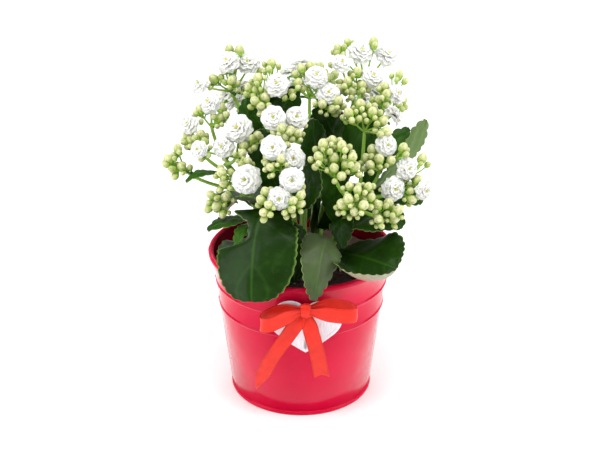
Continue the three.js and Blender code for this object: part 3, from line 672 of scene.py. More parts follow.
leafShape = {"thickness": 1.8, "petiole": 3.4, "rows": 88, "columns": 21, "toothPitch": 5.8,
             "toothDepth": 1.6, "wave": 0.08, "pucker": 0.35, "puckers": (23, 7), "groove": 0.3,
             "grooveHalf": 1.3}
bractShape = {"thickness": 0.8, "petiole": 1.4, "rows": 16, "columns": 7, "toothPitch": 3, "toothDepth": 0.3,
              "wave": 0.09, "pucker": 0.05, "puckers": (23, 7), "groove": 0.1, "grooveHalf": 1.3}
def leafOn(stem, rise, elbow, tip, width, tone, **more):
    return {"stem": stem, "from": rise, "elbow": elbow, "tip": tip, "width": width, "tone": tone, **more}


# Each leaf: its stem, how high it leaves it, its elbow and tip, its width and its tone, light at 1.
# roll turns the blade about its midrib in degrees. cup and curl lift its edges, as shares of the half width.
# fullness moves the widest place towards the tip, and a smaller blunt rounds the tip. turned swaps its faces.
# pale greys the upper face as a painted sheen, and under sets how grey the lower one is. notch cuts a bay
# into one edge.
leaves = {
    "front_left": leafOn("front", 112, (-32, -36, 194), (-32, -77, 105), 56, 0.12, fullness=2.6, blunt=0.3,
        cup=-0.2, notch={"side": 1, "start": 0.46, "end": 0.72, "depth": 0.7, "width": 0.08}),
    "front_dark": leafOn("front", 132, (-16, -30, 156), (-44, -38, 162), 24, 0.2, roll=25, under=0.15),
    "front_middle": leafOn("front", 134, (-1, -34, 142), (-5, -48, 104), 18, 0.1, fullness=2),
    "front_grey": leafOn("right", 106, (18, -58, 165), (8, -79, 107), 27, 0.4, roll=-25, cup=-0.3,
        pale=0.13),
    "front_wavy": leafOn("front", 145, (6, -26, 160), (10, -34, 184), 22, 0.2, roll=75),
    "front_narrow": leafOn("right", 126, (28, -24, 150), (27, -41, 126), 16, 0.3, roll=10),
    "front_right": leafOn("right", 108, (37, -48, 126), (62, -62, 121), 50, 0.15, fullness=2.5, blunt=0.45,
        roll=28, curl=0.8),
    "right_upper": leafOn("right", 122, (46, -25, 151), (67, -39, 140), 32, 0.5, roll=15, cup=0.1),
    "right_outer": leafOn("right", 138, (56, -4, 164), (81, -20, 149), 27, 0.55, roll=20),
    "left_inner": leafOn("left", 104, (-34, -24, 126), (-56, -32, 118), 26, 0.35, roll=10, cup=0.1),
    "left_small": leafOn("left", 124, (-42, -16, 142), (-63, -28, 133), 15, 0.7),
    "left_pointed": leafOn("left", 114, (-38, -24, 146), (-44, -34, 124), 10, 0.9),
    "left_bract": leafOn("left", 154, (-66, -8, 174), (-78, -8, 160), 10, 0.8),
    "left_tall": leafOn("back_left", 172, (-37, 0, 190), (-36, 4, 216), 16, 0.65, roll=70, turned=True),
    "centre_left": leafOn("back_left", 140, (-24, -2, 168), (-28, -3, 196), 24, 0.5, roll=75, turned=True),
    "right_tall": leafOn("top_right", 140, (36, -6, 178), (46, 0, 212), 27, 0.7, fullness=2, roll=75),
    "middle_tall": leafOn("top_right", 150, (7, -4, 176), (7, -4, 204), 24, 0.45, roll=80, turned=True),
    "middle_right": leafOn("right", 128, (17, -10, 158), (28, -10, 187), 24, 0.45, roll=75),
    "right_spoon": leafOn("right", 157, (72, 8, 166), (85, 16, 196), 13, 1.2, fullness=2, roll=60, pale=0.3),
    "right_slim": leafOn("right", 149, (56, -4, 186), (73, 0, 195), 13, 0.6, roll=40),
    "back_left": leafOn("back_left", 116, (-44, 42, 160), (-56, 58, 108), 44, 0.25),
    "back_middle": leafOn("back", 112, (4, 52, 166), (8, 80, 106), 46, 0.25),
    "back_right": leafOn("top_right", 112, (46, 42, 158), (62, 50, 110), 46, 0.25),
}


def leafOutline(along, leaf):
    return max(0, sin(pi * along ** leaf.get("fullness", 1.3))) ** leaf.get("blunt", 0.55)


def leafFrames(line, leaf, shape):
    # Cross sections along the midrib, closer together at both ends. Each holds its share of the line, its
    # middle, the midrib's direction, the side, the normal and the half width.
    level = (line[2] - line[0]).cross(up).normalized()
    frames = []
    for i in range(shape["rows"]):
        along = (1 - cos(pi * i / (shape["rows"] - 1))) / 2
        tangent = bezierTangent(line, along)
        side = (level - tangent * level.dot(tangent)).normalized()
        side.rotate(Quaternion(tangent, radians(leaf.get("roll", 0))))
        half = max(shape["petiole"] / 2, leaf["width"] / 2 * leafOutline(along, leaf))
        frames.append((along, bezier(line, along), tangent, side, side.cross(tangent).normalized(), half))
    return frames


def leafMargin(frames, leaf, shape, sign, phase):
    # One edge: its points, each with a tooth that points outwards, evenly by the edge's own length.
    points = []
    for along, middle, _, side, _, half in frames:
        kept = 1
        if "notch" in leaf and sign == leaf["notch"]["side"]:
            start, end, width = (leaf["notch"][key] for key in ("start", "end", "width"))
            bay = smooth(start, start + 2 * width, along) * (1 - smooth(end, end + width, along))
            kept -= leaf["notch"]["depth"] * bay
        points.append(middle + side * sign * half * kept)
    length, margin = 0, []
    for i, (along, _, tangent, side, normal, _) in enumerate(frames):
        if i:
            length += (points[i] - points[i - 1]).length
        run = points[min(i + 1, len(points) - 1)] - points[max(i - 1, 0)]
        outward = run.cross(normal).normalized() * sign if run.length else side * sign
        if outward.dot(side * sign + tangent * 0.5) < 0:
            outward = -outward
        uneven = length / shape["toothPitch"] + 0.35 * sin(length / 9 + phase)
        scallop = abs(sin(pi * uneven)) ** 0.6 - 0.55
        margin.append((points[i], outward * scallop * shape["toothDepth"] * smooth(0.1, 0.3, along)))
    return margin


def addLeaf(piece, line, leaf, seed, shape, finish=0):
    # A blade along its midrib line, with a groove over the midrib, wavy sides and puckers between the veins.
    dice = random.Random(seed)
    phase, ripples = dice.uniform(0, 6), dice.uniform(1.6, 2.6)
    columns = shape["columns"]
    frames = leafFrames(line, leaf, shape)
    margins = {sign: leafMargin(frames, leaf, shape, sign, phase) for sign in (-1, 1)}
    top, bottom, above = [], [], []
    for i, (along, middle, _, _, normal, half) in enumerate(frames):
        blade = smooth(0.12, 0.35, along)
        for j in range(columns):
            across = 2 * j / (columns - 1) - 1
            edge, tooth = margins[1 if across >= 0 else -1][i]
            ripple = sin(along * ripples * 6.28 + phase + across * 1.5)
            curled = leaf.get("curl", 0) * max(0, 2 * across - 1) ** 2
            lift = half * (leaf.get("cup", 0) * across ** 2 + curled)
            lift += half * shape["wave"] * ripple * across ** 2 * blade
            pucker = sin(along * shape["puckers"][0] + phase) * sin(across * shape["puckers"][1])
            lift += shape["pucker"] * pucker * blade * (1 - across ** 2)
            groove = shape["groove"] * exp(-(across * half / shape["grooveHalf"]) ** 2) * blade
            depth = shape["thickness"] / 2 * (1 - 0.72 * across ** 2) * mix(1.4, 1, blade)
            place = middle + (edge - middle) * abs(across) + tooth * abs(across) ** 5 + normal * lift
            top.append(tuple(place + normal * (depth - groove)))
            bottom.append(tuple(place - normal * (depth + groove * 1.2)))
            # The third number on the upper face paints a grey sheen over it.
            above.append((along, abs(across), leaf.get("pale", 0), leaf["tone"]))
    below = [(*tint[:2], leaf.get("under", 1), tint[3]) for tint in above]
    tints = below + above if leaf.get("turned") else above + below
    addPatch(piece, top + bottom, slabFaces(shape["rows"], columns), finish, tints)


def makeLeaf(name, leaf, number):
    elbow = Vector(leaf["elbow"])
    root = besideStem(leaf["stem"], leaf["from"], elbow)
    piece = newPiece()
    addLeaf(piece, (root, elbow, Vector(leaf["tip"])), leaf, number, leafShape)
    return finishPiece(piece, f"leaf_blade_{name}", ["leaf"], [f"leaf_{name}"])


for stemName in stems:
    makeStem(stemName)
print("stems made")

for leafNumber, (leafName, leafValues) in enumerate(leaves.items()):
    makeLeaf(leafName, leafValues, leafNumber)
print("leaves made")

# bud is a bud's usual width, and sideBuds the widths of the small ones that fill the room between them.
# closeness is how near they may come, as a share of touching. Blooms face away from centre and lean toLight.
bloomShape = {
    "bud": 5.6, "budSwell": 1.14, "budLength": 0.53, "sideBuds": (3.0, 4.8), "closeness": 0.98,
    "floretGrowth": 1.14, "floretRise": 1.6, "centre": Vector((0, 20, 140)),
    "toLight": Vector((0, -0.8, 0.1)), "domeBlooms": 11, "domeFloret": 14, "domeTurn": 2.4,
}


def clusterOn(stem, rise, fork, florets=(), buds=(), **more):
    return {"stem": stem, "from": rise, "fork": fork, "florets": florets, "buds": buds, **more}


# Each cluster: its stem, how high its stalk leaves it, and the fork. Then come its open florets as
# (x, y, z, width) and its buds as (x, y, z) or (x, y, z, width). A round one has a dome's radius instead.
clusters = {
    "top_left": clusterOn("back_left", 186, (-48, 28, 212), [(-50, 28, 233, 15), (-36, 32, 231, 15),
        (-69, 22, 219, 12)], [(-49, 38, 239), (-42, 33, 240), (-60, 28, 221), (-47, 22, 222),
        (-52, 35, 226)]),
    "left_upper": clusterOn("left", 166, (-61, 12, 192), [(-62, 14, 209, 14)], [(-69, 16, 203),
        (-54, 13, 206), (-55, 12, 199)]),
    "left_middle": clusterOn("left", 160, (-70, 8, 178), [(-76, 10, 195, 13)], [(-78, 11, 186),
        (-68, 6, 189), (-75, 8, 184)]),
    "far_left": clusterOn("left", 148, (-78, 0, 164), [], [(-90, -1, 174, 6), (-87, -1, 166, 6),
        (-84, 3, 180), (-81, -4, 170)]),
    "left_inner": clusterOn("left", 168, (-44, -8, 178), [(-42, -9, 199, 18), (-52, -12, 187, 14),
        (-68, -14, 186, 11)], [(-33, -8, 190), (-29, -12, 195), (-38, -12, 188), (-39, -18, 185)]),
    "left_front": clusterOn("left", 156, (-42, -28, 168), [(-36, -42, 176, 18)], [(-35, -31, 184),
        (-52, -39, 180), (-51, -38, 172)]),
    "low_left": clusterOn("left", 146, (-50, -14, 148), [], [(-61, -18, 155), (-51, -18, 153),
        (-57, -22, 148), (-53, -22, 142, 5), (-63, -21, 145, 5)]),
    "centre_back": clusterOn("back_left", 198, (-20, 8, 207), [(-16, 4, 225, 15)], [(-6, 6, 220),
        (-2, 6, 226), (-31, -2, 216), (-24, 2, 217), (-27, -2, 212), (-35, 8, 222), (-29, 6, 229),
        (-20, 17, 236)], bracts=[{"line": ((-23, 11, 196), (-12, 4, 204), (-5, 5, 224)), "width": 20,
        "roll": -75, "tone": 0.4, "turned": True}]),
    "centre_upper": clusterOn("front", 160, (-10, -20, 194), [(-18, -24, 212, 15), (-3, -20, 211, 14)],
        [(-13, -30, 207), (-7, -26, 204), (-11, -30, 201), (-2, -26, 202)]),
    "front_upper": clusterOn("front", 168, (-13, -40, 182), [(-18, -44, 199, 15), (-5, -43, 191, 14)],
        [(-13, -50, 194, 5), (-22, -40, 191, 5), (-20, -52, 189, 5)]),
    "front_lower": clusterOn("front", 156, (-13, -54, 162), [(-6, -57, 182, 15), (-14, -61, 171, 14)],
        [(0, -62, 174, 5), (0, -62, 168, 5), (-5, -66, 172, 5), (-23, -58, 175, 5), (-21, -66, 169, 5),
        (-26, -60, 170, 5), (-24, -67, 164, 5), (-6, -64, 165, 5)]),
    "top_centre": clusterOn("top_right", 194, (15, 8, 207), [(10, 7, 230, 14), (18, 4, 219, 14)],
        [(25, -2, 216), (21, -2, 210), (14, -3, 214), (6, 16, 234), (0, 12, 234)],
        bracts=[{"line": ((28, 16, 180), (18, 8, 188), (14, 6, 214)), "width": 24, "roll": 75, "tone": 0.2,
        "turned": True}]),
    "top_middle": clusterOn("top_right", 206, (35, 16, 214), [(27, 19, 235, 12), (48, 18, 226, 14)],
        [(31, 12, 225), (34, 12, 218), (26, 11, 220), (41, 14, 221), (38, 19, 229)]),
    "right_upper": clusterOn("top_right", 188, (54, 8, 206), [(64, 6, 218, 12)], [(52, 6, 214), (57, 3, 219),
        (56, 9, 222), (66, 14, 229, 5)]),
    "top_right": clusterOn("top_right", 198, (44, 38, 217), [(41, 42, 236, 16), (59, 44, 233, 15)],
        [(25, 43, 238, 5), (32, 48, 241, 5), (50, 46, 242)]),
    "middle_band": clusterOn("right", 152, (42, -10, 197), [], [(31, -14, 212), (39, -8, 216),
        (47, -12, 212, 6), (54, -14, 206, 6), (56, -21, 201, 6)]),
    "centre_buds": clusterOn("right", 150, (22, -38, 176), [], [(14, -42, 201, 6), (20, -36, 201),
        (26, -42, 200, 6), (21, -43, 192, 6), (11, -46, 194, 6), (29, -44, 188, 6), (21, -48, 187),
        (26, -50, 182), (33, -47, 194), (35, -46, 187)]),
    "right_middle": clusterOn("right", 160, (52, -22, 174), [(56, -24, 193, 14)], [(47, -22, 189, 6),
        (51, -30, 186, 6), (43, -24, 184), (45, -31, 182), (59, -28, 184), (67, -25, 192)]),
    "right_outer": clusterOn("right", 154, (64, -24, 160), [(70, -28, 178, 14), (61, -34, 166, 15),
        (81, -37, 166, 12)], [(77, -27, 170), (80, -24, 184), (73, -38, 160)]),
    "front_right": clusterOn("right", 142, (34, -50, 158), [], [(30, -61, 171, 6), (26, -58, 166, 6),
        (36, -58, 176, 5), (43, -53, 176, 5), (31, -54, 177, 5), (45, -56, 170, 5), (40, -62, 167, 6),
        (34, -61, 162, 5)]),
    "low_right": clusterOn("right", 146, (54, -42, 148), [], [(50, -48, 161), (57, -44, 160, 6),
        (63, -50, 158, 6), (61, -48, 151, 6), (50, -53, 153)]),
    "back_left": clusterOn("back", 168, (-38, 52, 186), dome=20),
    "back_middle": clusterOn("back", 186, (6, 58, 197), dome=22),
    "back_right": clusterOn("back", 160, (56, 50, 182), dome=20),
}


def domeOf(fork, dome):
    # The same sunflower spiral over a shallow dome as in the solid model.
    florets, buds, count = [], [], bloomShape["domeBlooms"]
    for i in range(count):
        reach, turn = dome * sqrt((i + 0.3) / count), i * bloomShape["domeTurn"]
        rise = dome * 1.05 - reach ** 2 / dome / 2
        place = (fork[0] + reach * cos(turn), fork[1] + reach * sin(turn), fork[2] + rise)
        if i % 3 == 1:
            florets.append((*place, bloomShape["domeFloret"]))
        else:
            buds.append(place)
    return florets, buds


def turnTo(direction, spin):
    # Turns +Z to the direction, after a spin about it.
    return Vector((0, 0, 1)).rotation_difference(direction) @ Quaternion((0, 0, 1), spin)


def addBud(piece, place, direction, width, spin, age):
    # A closed bud: a pointed egg of four petals wound round each other, in a small green cup.
    rings, sides = 9, 16
    turning = turnTo(direction, spin)
    corners, tints = [], []
    for i in range(rings + 1):
        polar = pi * i / rings
        height = -cos(polar)
        girth = sin(polar) * (1 - 0.08 * height)
        for turn in turnsOf(sides):
            twist = abs(cos(2 * (turn + height * 0.7)))
            seam = (1 - twist) ** 2 * smooth(-0.3, 0.7, height)
            radius = girth * (1 - 0.12 * seam) * width / 2 if i < rings else 0
            rise = height * width * bloomShape["budLength"]
            local = Vector((radius * cos(turn), radius * sin(turn), rise))
            corners.append(tuple(place + turning @ local))
            tints.append(((height + 1) / 2, seam, age, 1))
    addPatch(piece, corners, ringFaces(rings + 1, sides), 1, tints)
    cup = []
    for radius, height, lobe in floretShape["cup"]:
        for j, turn in enumerate(turnsOf(8)):
            local = Vector((radius * cos(turn), radius * sin(turn), height + lobe * (j % 2))) * width
            cup.append(tuple(place + turning @ local))
    addPatch(piece, cup, ringFaces(len(floretShape["cup"]), 8), 0, [(0.8, 0, 0, 1)] * len(cup))


# whorls run from outside in: how many petals, their length, their lift in degrees and their width. alongs and
# halves are a petal's outline. cup is a bud's green cup: radius, height and how far every other point rises.
floretShape = {
    "cup": ((0.0, -0.66, 0), (0.34, -0.62, 0), (0.5, -0.3, 0.16), (0.4, -0.2, 0.16), (0.0, -0.3, 0)),
    "whorls": [
        (8, 1.0, 2, 0.84), (8, 0.96, 18, 0.78), (7, 0.84, 36, 0.72), (6, 0.68, 54, 0.6), (5, 0.46, 70, 0.46)],
    "alongs": (0, 0.25, 0.5, 0.74, 0.91, 1.0), "halves": (0.3, 0.6, 0.88, 1.0, 0.8, 0.34), "columns": 5,
    "sink": 0.3, "ringRise": 0.05, "thickness": 0.016,
}


def addPetal(piece, turning, place, radius, turn, length, lift, width, ring, dice):
    shape = floretShape
    top, bottom, tints = [], [], []
    bend, ruffle = dice.uniform(0.15, 0.4), dice.uniform(-0.06, 0.06)
    swing = Quaternion((0, 0, 1), turn)
    for along, wide in zip(shape["alongs"], shape["halves"]):
        angle = radians(lift) + bend * (0.9 - 2.0 * along)
        for j in range(shape["columns"]):
            across = 2 * j / (shape["columns"] - 1) - 1
            reach = along * length * (1 - 0.05 * across ** 2)
            x = 0.05 + reach * cos(angle)
            z = reach * sin(angle) + 0.09 * across ** 2 * along - shape["sink"] + shape["ringRise"] * ring
            z += ruffle * sin(across * 3 + along * 5)
            local = swing @ Vector((x, across * width / 2 * wide, z))
            thick = swing @ Vector((-sin(angle), 0, cos(angle))) * shape["thickness"]
            top.append(tuple(place + turning @ ((local + thick) * radius)))
            bottom.append(tuple(place + turning @ ((local - thick) * radius)))
            tints.append((mix(0.25, 1, along) if ring < 3 else along, (across + 1) / 2, ring / 5, 1))
    addPatch(piece, top + bottom, slabFaces(len(shape["alongs"]), shape["columns"]), 2, tints + tints)


def addFloret(piece, place, direction, width, seed):
    dice = random.Random(seed)
    turning = turnTo(direction, dice.uniform(0, 6))
    radius = width / 2
    for ring, (count, length, lift, broad) in enumerate(floretShape["whorls"]):
        start = dice.uniform(0, 6)
        for i in range(count):
            turn = start + 2 * pi * i / count + dice.uniform(-0.1, 0.1)
            addPetal(piece, turning, place, radius, turn, length * dice.uniform(0.92, 1.03),
                     lift + dice.uniform(-6, 6), broad * dice.uniform(0.92, 1.1), ring, dice)
    for i in range(5):
        turn = i * 1.26
        tip = place + turning @ (Vector((0.08 * cos(turn), 0.08 * sin(turn), 0.2)) * radius)
        foot = place + turning @ (Vector((0, 0, -0.25)) * radius)
        stalk(piece, (foot, (foot + tip) / 2, tip), (0.3, 0.24), 0, 3, 6, 2)


def branch(start, end, out=0.62, rise=0.36):
    # A branchlet first leans out, then turns up to its bloom.
    elbow = Vector((mix(start.x, end.x, out), mix(start.y, end.y, out), mix(start.z, end.z, rise)))
    return start, elbow, end


def bloomsOf(cluster):
    if "dome" in cluster:
        return domeOf(Vector(cluster["fork"]), cluster["dome"])
    return cluster["florets"], cluster["buds"]


placedBlooms = []  # the middle and radius of every bloom so far, so that added buds keep clear of them
for listedCluster in clusters.values():
    listedFlorets, listedBuds = bloomsOf(listedCluster)
    placedBlooms += [(Vector(b[:3]), b[3] * 0.5) for b in listedFlorets]
    placedBlooms += [(Vector(b[:3]), (b[3] if len(b) > 3 else bloomShape["bud"]) / 2) for b in listedBuds]


def crowd(place, facing, width, count, low, reach, dice):
    # Finds room for more buds round a bloom, a little below it, and never inside another bloom.
    side = facing.orthogonal().normalized()
    other = facing.cross(side)
    found, start = [], dice.uniform(0, 6)
    for i in range(count):
        size = dice.uniform(*bloomShape["sideBuds"])
        turn = start + 2 * pi * i / count
        spot = place + (side * cos(turn) + other * sin(turn)) * (width * reach + size * 0.5)
        spot -= facing * dice.uniform(*low)
        if all((spot - p).length > (r + size / 2) * bloomShape["closeness"] for p, r in placedBlooms):
            placedBlooms.append((spot, size / 2))
            found.append((spot, size))
    return found


def makeCluster(name, cluster, number):
    dice = random.Random(number)
    shape = bloomShape
    fork = Vector(cluster["fork"])
    florets, buds = bloomsOf(cluster)
    piece = newPiece()
    start = besideStem(cluster["stem"], cluster["from"], fork)
    stalk(piece, branch(start, fork, 0.75, 0.4), (1.4, 1.1), 0.5, 0, 10, 14)
    for i in range(2):
        turn = dice.uniform(0, 6) + i * pi
        out = Vector((cos(turn), sin(turn), 0))
        base = fork - up * 1.5
        line = (base, base + out * 4 + up * 3, base + out * dice.uniform(7, 9) + up * 1)
        bract = {"width": 4.5, "fullness": 1.1, "cup": 0.2, "tone": 0.8}
        addLeaf(piece, line, bract, number * 7 + i, bractShape, 4)
    for i, bract in enumerate(cluster.get("bracts", [])):
        line = tuple(Vector(p) for p in bract["line"])
        addLeaf(piece, line, bract, number * 7 + 3 + i, leafShape, 4)
    crowded = []
    for i, (x, y, z, width) in enumerate(florets):
        place = Vector((x, y, z))
        facing = (place - shape["centre"]).normalized()
        if "dome" not in cluster:
            facing = (facing + shape["toLight"]).normalized()
        place += facing * shape["floretRise"]
        width *= shape["floretGrowth"]
        foot = place - facing * width * 0.2
        stalk(piece, branch(fork, foot), (0.85, 0.6), 0.9)
        addFloret(piece, place, facing, width, number * 31 + i)
        crowded += [(foot, bud) for bud in crowd(place, facing, width, 6, (4.5, 7.5), 0.32, dice)]
    for bud in buds:
        place, width = Vector(bud[:3]), bud[3] if len(bud) > 3 else shape["bud"]
        width *= shape["budSwell"]
        line = branch(fork, place)
        stalk(piece, line, (0.75, 0.5), 0.9)
        facing = bezierTangent(line, 1)
        grown = width * dice.uniform(0.94, 1.06)
        addBud(piece, place, facing, grown, dice.uniform(0, 6), dice.uniform(0, 0.35))
        for joint, count, low in ((0.55, 4, (0.6, 3.4)), (0.4, 2, (4.0, 6.5))):
            extras = crowd(place, facing, width, count, low, 0.5, dice)
            crowded += [(bezier(line, joint), extra) for extra in extras]
    for joint, (spot, size) in crowded:
        line = branch(joint, spot)
        stalk(piece, line, (0.5, 0.4), 1.0, 0, 6, 5)
        facing = (bezierTangent(line, 1) + (spot - shape["centre"]).normalized()).normalized()
        addBud(piece, spot, facing, size, dice.uniform(0, 6), dice.uniform(0.1, 0.8))
    looks = ["stalk", "bud", "petal", "floretMiddle", "leaf"]
    return finishPiece(piece, f"flower_cluster_{name}", looks, [f"flowers_{name}"])


for clusterNumber, (clusterName, clusterValues) in enumerate(clusters.items()):
    makeCluster(clusterName, clusterValues, clusterNumber)
print("flower clusters made")

tag = {"width": 48, "height": 42, "thickness": 1.4, "level": 78, "shift": 3, "padRadius": 6,
       "padThickness": 1.6, "border": 2.2, "borderRise": 0.35, "bevel": 0.35}
tag["lean"] = atan(pail["slope"])
tag["front"] = wallRadius(tag["level"]) + pail["ribRise"] + tag["padThickness"] + pail["gap"]


def tagPlace(x, y, out):
    # From the tag's own plane, with out towards the viewer, to the model.
    lean = tag["lean"]
    return (tag["shift"] + x, -tag["front"] - out * cos(lean) - y * sin(lean),
            tag["level"] + y * cos(lean) - out * sin(lean))


def cubic(a, b, c, d, share):
    rest = 1 - share
    pulls = (rest ** 3, 3 * rest ** 2 * share, 3 * rest * share ** 2, share ** 3)
    return tuple(sum(point[k] * pull for point, pull in zip((a, b, c, d), pulls)) for k in range(2))


def heartOutline():
    w, top = tag["width"] / 2, tag["height"] / 2
    right = [((0, top * 0.72), (w * 0.2, top * 1.08), (w * 0.62, top * 1.1), (w * 0.84, top * 0.78)),
             ((w * 0.84, top * 0.78), (w * 1.12, top * 0.35), (w * 1.02, -top * 0.05),
              (w * 0.72, -top * 0.35)),
             ((w * 0.72, -top * 0.35), (w * 0.5, -top * 0.6), (w * 0.2, -top * 0.85), (0, -top))]
    points = [cubic(*part, i / 14) for part in right for i in range(14)]
    left = [(-x, y) for x, y in points[1:]][::-1]
    return points + [(0, -top)] + left


def makeHeartTag():
    outline = heartOutline()
    count = len(outline)
    thick, bevel, border, rise = tag["thickness"], tag["bevel"], tag["border"], tag["borderRise"]

    def ring(inset, out):
        # Moves each point inwards along the outline's normal.
        points = []
        for i, (x, y) in enumerate(outline):
            before, after = outline[i - 1], outline[(i + 1) % count]
            dx, dy = after[0] - before[0], after[1] - before[1]
            size = hypot(dx, dy) or 1
            points.append(tagPlace(x + dy / size * inset, y - dx / size * inset, out))
        return points

    steps = [(bevel, 0), (0, bevel), (0, thick - bevel), (bevel, thick), (border - 0.5, thick),
             (border, thick - rise), (border + 2, thick - rise)]
    corners = [corner for step in steps for corner in ring(*step)]
    faces = ringFaces(len(steps), count)
    corners += [tagPlace(0, -2, thick - rise), tagPlace(0, -2, 0)]
    middle, back, last = len(corners) - 2, len(corners) - 1, (len(steps) - 1) * count
    for j in range(count):
        faces.append((last + j, last + (j + 1) % count, middle))
        faces.append(((j + 1) % count, j, back))
    piece = newPiece()
    addPatch(piece, corners, faces)
    made = finishPiece(piece, "heart_tag_plate", ["tag"], ["heart_tag"])
    made.data.polygons.foreach_set("use_smooth", [False] * len(made.data.polygons))
    return made


def makeGluePad():
    radius, thick, gap = tag["padRadius"], tag["padThickness"], pail["gap"]
    rows = [(radius - 0.3, -gap), (radius, -gap - 0.3), (radius + 0.1, -gap - thick / 2),
            (radius, -gap - thick + 0.3), (radius - 0.3, -gap - thick)]
    sides = 40
    corners = [tagPlace(reach * cos(turn), reach * sin(turn), out)
               for reach, out in rows for turn in turnsOf(sides)]
    faces = ringFaces(len(rows), sides, 0, True)
    faces.append(tuple(range(sides)))
    faces.append(tuple((len(rows) - 1) * sides + j for j in range(sides))[::-1])
    piece = newPiece()
    addPatch(piece, corners, faces)
    return finishPiece(piece, "foam_pad", ["foam"], ["glue_pad"])


makeHeartTag()
makeGluePad()
print("tag made")

knot = Vector(tagPlace(0, bow["knotRise"], tag["thickness"] + bow["knotStandoff"]))
# Each strip's points are in mm from the knot. side is the direction of the ribbon's width.
bowStrips = {
    "rightLoop": {
        "points": [(0, 1, 0), (14, 4, 2), (29, 1, 1), (33, -5, 0), (26, -8, 0), (12, -5, 0), (0, -1, 0)],
        "side": (0, 0, 1), "steps": 80},
    "leftLoop": {
        "points": [
            (0, 1, 0), (-14, 4, -2), (-26, 1, -5), (-30, -5, -7), (-24, -9, -6), (-11, -5, -2), (0, -1, 0)],
        "side": (0, 0, 1), "steps": 80},
    "leftTail": {
        "points": [(0, 0, 0), (-11, -3, -16), (-25, 2, -42), (-39, 18, -84)],
        "side": (1, 0, 0), "steps": 70, "cut": 0.24},
    "rightTail": {
        "points": [(0, 0, 0), (4, -3, -16), (8, 0, -34), (11, 7, -55)],
        "side": (1, 0, 0), "steps": 54, "cut": -0.06},
}


def splineThrough(points, share):
    # A smooth line through all the points, at a share of its spans (a Catmull-Rom spline).
    spans = len(points) - 1
    span = min(spans - 1, int(share * spans))
    t = share * spans - span
    p1, p2 = points[span], points[span + 1]
    p0 = points[span - 1] if span > 0 else p1 * 2 - p2
    p3 = points[span + 2] if span + 2 <= spans else p2 * 2 - p1
    return (p1 * 2 + (p2 - p0) * t + (p0 * 2 - p1 * 5 + p2 * 4 - p3) * t * t
            + (p1 * 3 - p0 - p2 * 3 + p3) * t * t * t) / 2


def addRibbon(piece, strip, gather):
    # A length of ribbon along a smooth line. cut is how much shorter one edge is, for a slanting end.
    points = [Vector(p) + knot for p in strip["points"]]
    rows, columns, cut = strip["steps"] + 1, 9, strip.get("cut", 0)
    top, bottom, tints, length = [], [], [], 0
    for i in range(rows):
        share = i / (rows - 1)
        place = splineThrough(points, share)
        ahead = splineThrough(points, min(1, share + 0.01))
        behind = splineThrough(points, max(0, share - 0.01))
        tangent = (ahead - behind).normalized()
        if i:
            length += (place - last).length
        last = place
        side = Vector(strip["side"])
        side = (side - tangent * side.dot(tangent)).normalized()
        normal = side.cross(tangent).normalized()
        pinch = gather(share)
        for j in range(columns):
            across = 2 * j / (columns - 1) - 1
            crease = bow["pleats"] * (1 - pinch) * cos(across * 8) + bow["cupped"] * (1 - across ** 2)
            own = share * (1 - abs(cut) * (1 + copysign(across, cut)) / 2)
            spot = splineThrough(points, own) + side * across * bow["width"] / 2 * pinch + normal * crease
            top.append(tuple(spot + normal * bow["thickness"] / 2))
            bottom.append(tuple(spot - normal * bow["thickness"] / 2))
            tints.append((length / 10, (across + 1) / 2, 0, 1))
    addPatch(piece, top + bottom, slabFaces(rows, columns), 0, tints + tints)
    return length


def loopGather(share):
    return mix(0.45, 1, smooth(0, 0.22, share) * smooth(0, 0.22, 1 - share))


def tailGather(share):
    return mix(0.45, 1, smooth(0, 0.25, share))


def addKnot(piece):
    # The band that ties the bow: a short wrap of ribbon with soft folds.
    rows, columns = 28, 9
    width, depth, height = 3.6, 3.4, 5.4
    corners, tints = [], []
    for turn in turnsOf(rows):
        for j in range(columns):
            across = 2 * j / (columns - 1) - 1
            swell = 1 - 0.22 * across ** 2 + 0.05 * cos(across * 9 + turn)
            local = (across * width, -depth * swell * cos(turn), height * swell * sin(turn))
            corners.append(tuple(knot + Vector(local)))
            tints.append((turn, (across + 1) / 2, 0, 1))
    faces = []
    for i in range(rows):
        for j in range(columns - 1):
            a, b = i * columns + j, (i + 1) % rows * columns + j
            faces.append((a, b, b + 1, a + 1))
    faces.append(tuple(i * columns for i in range(rows)))
    faces.append(tuple(i * columns + columns - 1 for i in range(rows))[::-1])
    addPatch(piece, corners, faces, 0, tints)


def makeBow():
    piece = newPiece()
    length = 0
    for name, strip in bowStrips.items():
        length += addRibbon(piece, strip, loopGather if "Loop" in name else tailGather)
    addKnot(piece)
    made = finishPiece(piece, "satin_bow", ["ribbon"], ["ribbon_bow"])
    length += bow["knotWrap"]
    print("ribbon length", round(length))
    return made


makeBow()
print("bow made")

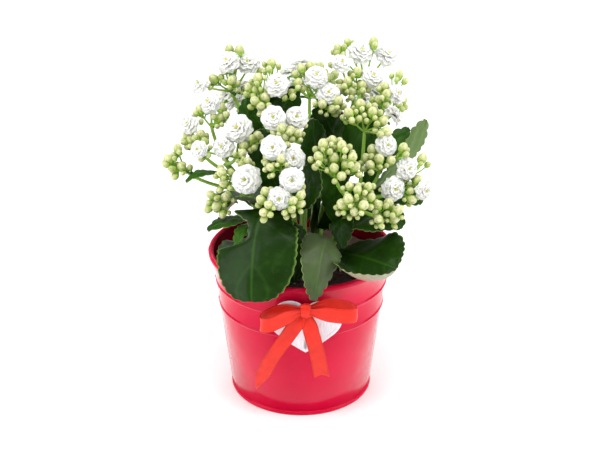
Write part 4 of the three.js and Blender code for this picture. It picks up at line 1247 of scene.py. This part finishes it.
studio = {"lens": 79.4, "distance": 0.8329, "height": 0.5133, "shiftX": -0.0008, "tilt": 64.94,
          "floorSize": 30, "worldStrength": 0.4}


def makeCamera():
    camera = bpy.data.objects.new("camera", bpy.data.cameras.new("camera"))
    camera.data.lens = studio["lens"]
    camera.location = (studio["shiftX"], -studio["distance"], studio["height"])
    camera.rotation_euler = (radians(studio["tilt"]), 0, 0)
    bpy.context.scene.collection.objects.link(camera)
    bpy.context.scene.camera = camera


def makeFloor():
    half = studio["floorSize"] / 2
    mesh = bpy.data.meshes.new("studio_floor")
    corners = [(-half, -half, 0), (half, -half, 0), (half, half, 0), (-half, half, 0)]
    mesh.from_pydata(corners, [], [(0, 1, 2, 3)])
    floor = bpy.data.objects.new("studio_floor", mesh)
    material = startMaterial("PaintedBoardWhite", {"Base Color": srgb("#fbfbfb"), "Roughness": 0.7})[0]
    mesh.materials.append(material)
    bpy.context.scene.collection.objects.link(floor)


# Each softbox: its place, its size, its power and what it faces.
softboxes = {
    "softbox_left": ((-1.1, -0.5, 0.5), (0.9, 1.4), 12.5, (0, 0, 0.1)),
    "softbox_right": ((1.1, -0.4, 0.5), (0.9, 1.4), 12.5, (0, 0, 0.1)),
    "softbox_back": ((0.0, 1.3, 1.2), (1.6, 1.0), 12, (0, 0.8, 0)),
    "softbox_top": ((0.0, -0.4, 1.5), (1.2, 1.2), 19, (0, 0, 0.1)),
}


def makeLights():
    world = bpy.data.worlds.new("studio")
    bpy.context.scene.world = world
    world.use_nodes = True
    background = world.node_tree.nodes["Background"]
    feed(world.node_tree, background, {"Color": (1, 1, 1, 1), "Strength": studio["worldStrength"]})
    for name, (place, size, power, target) in softboxes.items():
        light = bpy.data.objects.new(name, bpy.data.lights.new(name, "AREA"))
        light.data.shape = "RECTANGLE"
        light.data.size, light.data.size_y = size
        light.data.energy = power
        light.location = place
        light.rotation_euler = (Vector(target) - Vector(place)).to_track_quat("-Z", "Y").to_euler()
        bpy.context.scene.collection.objects.link(light)


makeCamera()
makeFloor()
makeLights()
print("studio ready")
bpy.context.scene.view_settings.view_transform = "Standard"
